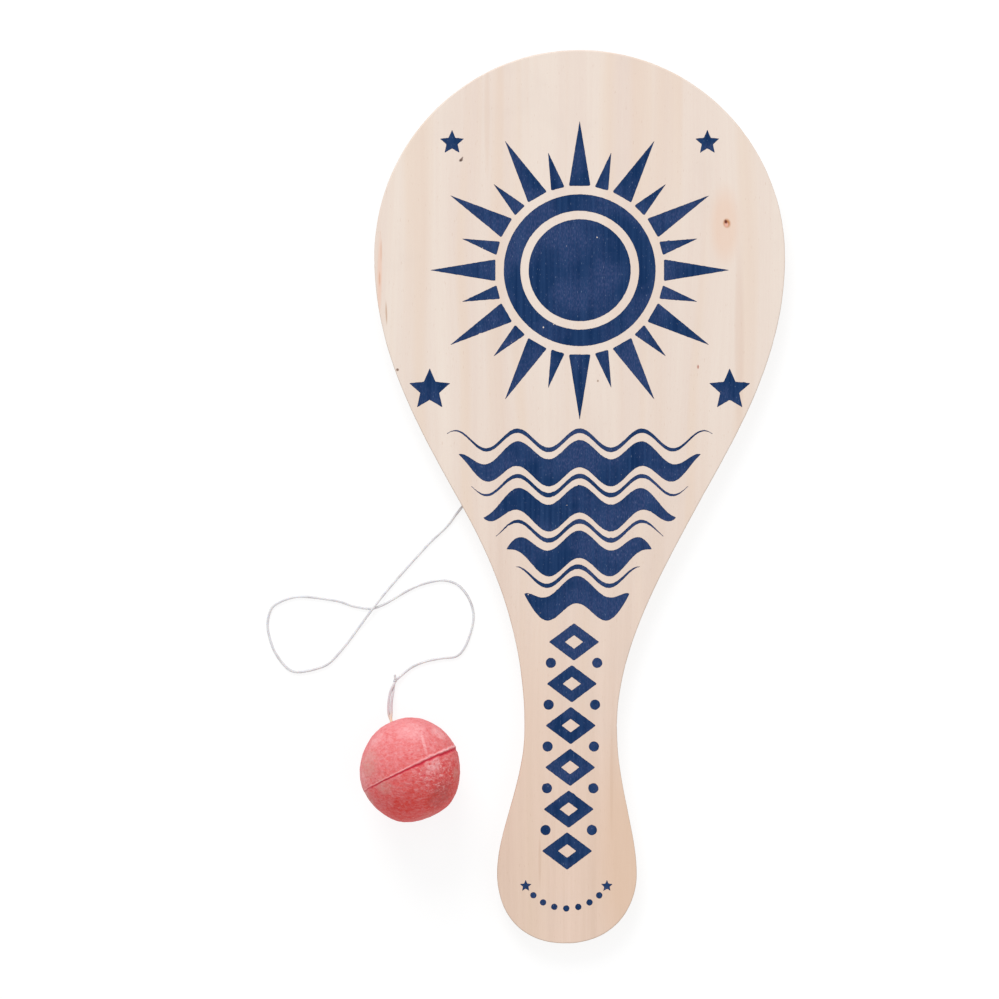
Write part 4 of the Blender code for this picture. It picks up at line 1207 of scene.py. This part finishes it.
def rib_shape(out, look):
    """Height, and the shares of the groove's deeper red and the lip's pale, at a direction in the rib's
    axes.

    The rib swells and fades round the ball. Its lip, its groove and their colours stand side by side, at
    shares of its width from its line. The deeper red is partly the groove's rubber and partly painted shade
    under the lip; the pale on the lip's upper side is worn skin and a painted highlight.
    """
    turn = math.atan2(-out.y, out.x)
    to_right, to_left = max(math.cos(turn), 0) ** 6, max(-math.cos(turn), 0) ** 6
    round_ball = Vector((math.cos(turn), math.sin(turn), 0))
    wander = 0.00022 * noise.noise(round_ball * 2.5) + 0.00012 * noise.noise(round_ball * 11)
    across = math.asin(max(-1.0, min(1.0, out.z))) * BALL_RADIUS - wander
    strength = 0.60 + 0.40 * math.cos(turn) + 0.45 * noise.noise(round_ball * 4 + Vector((0, 0, 3)))
    strength = min(max(strength, 0.15), 1.0)
    width = look.rib_width * (0.85 + 0.45 * math.cos(turn) + 0.45 * noise.noise(round_ball * 9))
    width = max(width, look.rib_width * 0.45)
    lip = bump_at(across - width * 0.42, width * 0.85) * (0.15 + 0.85 * strength)
    groove = bump_at(across + width * 0.60, width * 0.95) * strength
    # The mould's upper half is a little out of line, which leaves a step.
    step_height, step_width, step_reach = 0.00010, 0.0004, 0.0030
    step = step_height * strength * ease(0.5 + across / step_width) * max(1 - abs(across) / step_reach, 0)
    # It is worn down where it runs over the ball's sides.
    worn = (1 - 0.55 * to_right) * (1 - 0.70 * to_left)
    height = (lip * look.rib_height + step) * worn - groove * look.groove_depth
    # Under the lip, deeper red: the groove's rubber and painted shade. On its upper side, pale: worn skin
    # and a painted highlight.
    reddened_and_shaded = bump_at(across + width * 0.42, width * 1.15) * min(strength + 0.70, 1.0)
    rubbed_and_lit = bump_at(across - width * 0.52, width * 0.74) * strength
    return height, reddened_and_shaded * (1 - 0.70 * to_left), rubbed_and_lit


class PADDLEBALL_OT_ball(Operator):
    """Mould the rubber ball, with its rib, pits, wear and the hole for the cord"""

    bl_idname = "paddle_ball.mould_ball"
    bl_label = "Mould Ball"

    def execute(self, context):
        look = context.scene.paddle_ball
        axes = rib_axes()
        shape = bmesh.new()
        # A layer made after another one moves it, so both are made before either is taken.
        for name in ("sunk_and_shaded", "rubbed_and_lit"):
            shape.verts.layers.float.new(name)
        sunk_and_shaded, rubbed_and_lit = (shape.verts.layers.float[name] for name in ("sunk_and_shaded", "rubbed_and_lit"))
        bmesh.ops.create_cube(shape, size=2.0)
        bmesh.ops.subdivide_edges(shape, edges=shape.edges[:], cuts=BALL_CUTS, use_grid_fill=True)
        for vert in shape.verts:
            even = Vector([math.tan(share * math.pi / 4) for share in vert.co])
            vert.co = even.normalized()
        near_rib = [edge for edge in shape.edges
                    if all(abs(vert.co.z) * BALL_RADIUS < look.rib_width * 2.2 for vert in edge.verts)]
        bmesh.ops.subdivide_edges(shape, edges=near_rib, cuts=2, use_grid_fill=True)
        values = {vert: self.mould(vert, axes, look) for vert in shape.verts}
        self.pierce(shape)
        for vert in shape.verts:
            vert[sunk_and_shaded], vert[rubbed_and_lit] = values.get(vert, (1.0, 0.0))
        bmesh.ops.recalc_face_normals(shape, faces=shape.faces)
        piece_from(shape, "moulded_ball", bloomed_rubber(look), "ball", ("rubber_ball",))
        return {"FINISHED"}

    def mould(self, vert, axes, look):
        """Put a point of the unit sphere on the ball's worn surface, and return its shares of deeper red,
        painted shade in the groove and pits over the rubber's own colour, and of pale lip, worn skin with a
        painted highlight."""
        local = vert.co.normalized()
        out = axes @ local
        height, reddened_and_shaded, rubbed_and_lit = rib_shape(local, look)
        for heading, lump, spread in BALL_WEAR:
            toward = Vector((math.cos(math.radians(heading)), math.sin(math.radians(heading)), 0))
            height += lump * math.exp(-(math.degrees(out.angle(toward)) / spread) ** 2)
        place = out * BALL_RADIUS
        for lump, grain in SKIN_LUMPS:
            height += lump * noise.noise(place / grain)
        gaps, _ = noise.voronoi(place / PIT_SPACING)
        where = noise.noise(place / PIT_CLUSTER + Vector((3, 9, 5)))
        pit = bump_at(gaps[0], PIT_SIZE) * ease((where + 0.35) * 2)
        height -= look.pit_depth * pit
        vert.co = BALL_CENTRE + out * (BALL_RADIUS + height)
        vert.co.z = max(vert.co.z, 0.0)
        scuff = max(noise.noise(Vector((local.x * 9, local.y * 9, 0.3))), 0)
        rubbed_and_lit *= min(0.72 + 0.9 * scuff + 0.3 * max(local.x, 0), 1)
        # The pits get the deeper red too, as painted shade.
        return min(reddened_and_shaded + 0.75 * pit, 1.0), rubbed_and_lit

    def pierce(self, shape):
        """Open the hole that the cord goes in by, with a pulled-in mouth and a pocket at its end."""
        gone = [face for face in shape.faces
                if (face.calc_center_median() - BORE_MOUTH).length < BORE_RADIUS * 1.25]
        bmesh.ops.delete(shape, geom=gone, context="FACES")
        rim = [edge for edge in shape.edges if edge.is_boundary]
        for depth, share in BORE_PROFILE:
            if depth:
                made = bmesh.ops.extrude_edge_only(shape, edges=rim)["geom"]
                rim = [item for item in made if isinstance(item, bmesh.types.BMEdge) and item.is_boundary]
            wide = BORE_RADIUS * share
            surface = math.sqrt(max(BALL_RADIUS ** 2 - wide ** 2, 0)) - BALL_RADIUS
            for vert in {vert for edge in rim for vert in edge.verts}:
                off = vert.co - BORE_MOUTH
                off = (off - BORE_OUT * off.dot(BORE_OUT)).normalized()
                vert.co = BORE_MOUTH + BORE_OUT * (surface - depth) + off * wide
        bmesh.ops.contextual_create(shape, geom=rim)


def shown_share(tree):
    """1 for what the camera sees, straight on, in a mirror or through glass, and 0 otherwise."""
    path = add_node(tree, "LightPath").outputs
    straight = add_node(tree, "Math", {0: path["Is Camera Ray"], 1: path["Is Glossy Ray"]},
                        operation="ADD")
    return add_node(tree, "Math", {0: straight, 1: path["Is Transmission Ray"]}, operation="ADD",
                    use_clamp=True)


def white_table_top():
    """A white painted table top that shows as white to the eye and still takes the object's
    shadow. From below it can be seen through."""
    material = bpy.data.materials.new("white_table_top")
    material.use_nodes = True
    tree = material.node_tree
    tree.nodes.remove(tree.nodes["Principled BSDF"])
    glow = add_node(tree, "Emission", {"Color": (1, 1, 1), "Strength": FLOOR_GLOW})
    shade = add_node(tree, "BsdfDiffuse", {"Color": (FLOOR_SHADE,) * 3})
    shown = add_node(tree, "AddShader", {0: glow, 1: shade})
    # What the floor gives back to the object, a part of it in the gap under the board too.
    back_light = add_node(tree, "BsdfDiffuse", {"Color": (FLOOR_RETURN,) * 3})
    gap_glow = add_node(tree, "Emission", {"Color": (1, 1, 1), "Strength": GAP_GLOW})
    lit = add_node(tree, "AddShader", {0: back_light, 1: gap_glow})
    above = add_node(tree, "MixShader", {0: shown_share(tree), 1: lit, 2: shown})
    below = add_node(tree, "NewGeometry").outputs["Backfacing"]
    surface = add_node(tree, "MixShader", {0: below, 1: above, 2: add_node(tree, "BsdfTransparent")})
    set_inputs(tree, tree.nodes["Material Output"], {"Surface": surface})
    return material


class PADDLEBALL_OT_stage(Operator):
    """Set the camera, the lamps and the plain white floor"""

    bl_idname = "paddle_ball.set_stage"
    bl_label = "Set Stage"

    def execute(self, context):
        look = context.scene.paddle_stage
        context.scene.view_settings.view_transform = "Standard"
        self.add_camera(context, look)
        self.add_floor(context, look)
        self.add_world(context, look)
        middle = on_board(-look.camera_left, look.camera_up)
        self.add_lamp(context, "key_lamp", KEY_LAMP_OFF, middle, look.key_power)
        self.add_lamp(context, "fill_lamp", FILL_LAMP_OFF, middle, look.fill_power)
        return {"FINISHED"}

    def add_camera(self, context, look):
        camera = bpy.data.objects.new("camera", bpy.data.cameras.new("camera"))
        context.scene.collection.objects.link(camera)
        camera.location = on_board(-look.camera_left, look.camera_up, FACE_HIGH.z + look.camera_height)
        camera.data.angle = 2 * math.atan(look.view_width / 2 / look.camera_height)
        context.scene.camera = camera

    def add_floor(self, context, look):
        """The table top, a little under the object, so that no face of the two lies in one plane."""
        shape = bmesh.new()
        bmesh.ops.create_grid(shape, x_segments=1, y_segments=1, size=look.floor_side / 2)
        bmesh.ops.translate(shape, verts=shape.verts, vec=(0, 0, -FLOOR_DROP))
        mesh = bpy.data.meshes.new("table_top")
        shape.to_mesh(mesh)
        shape.free()
        mesh.materials.append(white_table_top())
        floor = bpy.data.objects.new("table_top", mesh)
        context.scene.collection.objects.link(floor)

    def add_world(self, context, look):
        """Even light all round, and white where the camera sees past the floor."""
        world = bpy.data.worlds.new("studio")
        world.use_nodes = True
        tree = world.node_tree
        strength = add_node(tree, "MapRange", {"Value": shown_share(tree), "To Min": look.daylight,
                                               "To Max": 1.0})
        set_inputs(tree, tree.nodes["Background"], {"Color": (1, 1, 1), "Strength": strength})
        context.scene.world = world

    def add_lamp(self, context, name, off, target, power):
        lamp = bpy.data.objects.new(name, bpy.data.lights.new(name, "AREA"))
        context.scene.collection.objects.link(lamp)
        lamp.data.size = LAMP_SIDE
        lamp.data.energy = power
        lamp.location = target + off
        lamp.rotation_euler = (-off).to_track_quat("-Z", "Y").to_euler()
        lamp.visible_camera = False


STEPS = (PADDLEBALL_OT_stage, PADDLEBALL_OT_ties, PADDLEBALL_OT_cord, PADDLEBALL_OT_board,
         PADDLEBALL_OT_print, PADDLEBALL_OT_staple, PADDLEBALL_OT_ball)


class PADDLEBALL_PT_tools(Panel):
    """The steps that build the toy, and the sizes and colours that they use"""

    bl_idname = "PADDLEBALL_PT_tools"
    bl_label = "Paddle Ball"
    bl_space_type = "VIEW_3D"
    bl_region_type = "UI"
    bl_category = "Paddle Ball"

    def draw(self, context):
        for step in STEPS:
            self.layout.operator(step.bl_idname)
        for name, group in SETTINGS.items():
            box = self.layout.box()
            for key in group.__annotations__:
                box.prop(getattr(context.scene, name), key)


def register():
    for group in SETTINGS.values():
        bpy.utils.register_class(group)
    for name, group in SETTINGS.items():
        setattr(bpy.types.Scene, name, PointerProperty(type=group))
    for step in STEPS:
        bpy.utils.register_class(step)
    bpy.utils.register_class(PADDLEBALL_PT_tools)


def unregister():
    bpy.utils.unregister_class(PADDLEBALL_PT_tools)
    for step in reversed(STEPS):
        bpy.utils.unregister_class(step)
    for name, group in SETTINGS.items():
        delattr(bpy.types.Scene, name)
        bpy.utils.unregister_class(group)


def main():
    register()
    bpy.ops.paddle_ball.set_stage()
    bpy.ops.paddle_ball.tie_ends()
    bpy.ops.paddle_ball.lay_cord()
    bpy.ops.paddle_ball.build_board()
    bpy.ops.paddle_ball.print_face()
    bpy.ops.paddle_ball.bend_staple()
    bpy.ops.paddle_ball.mould_ball()


if __name__ == "__main__":
    main()
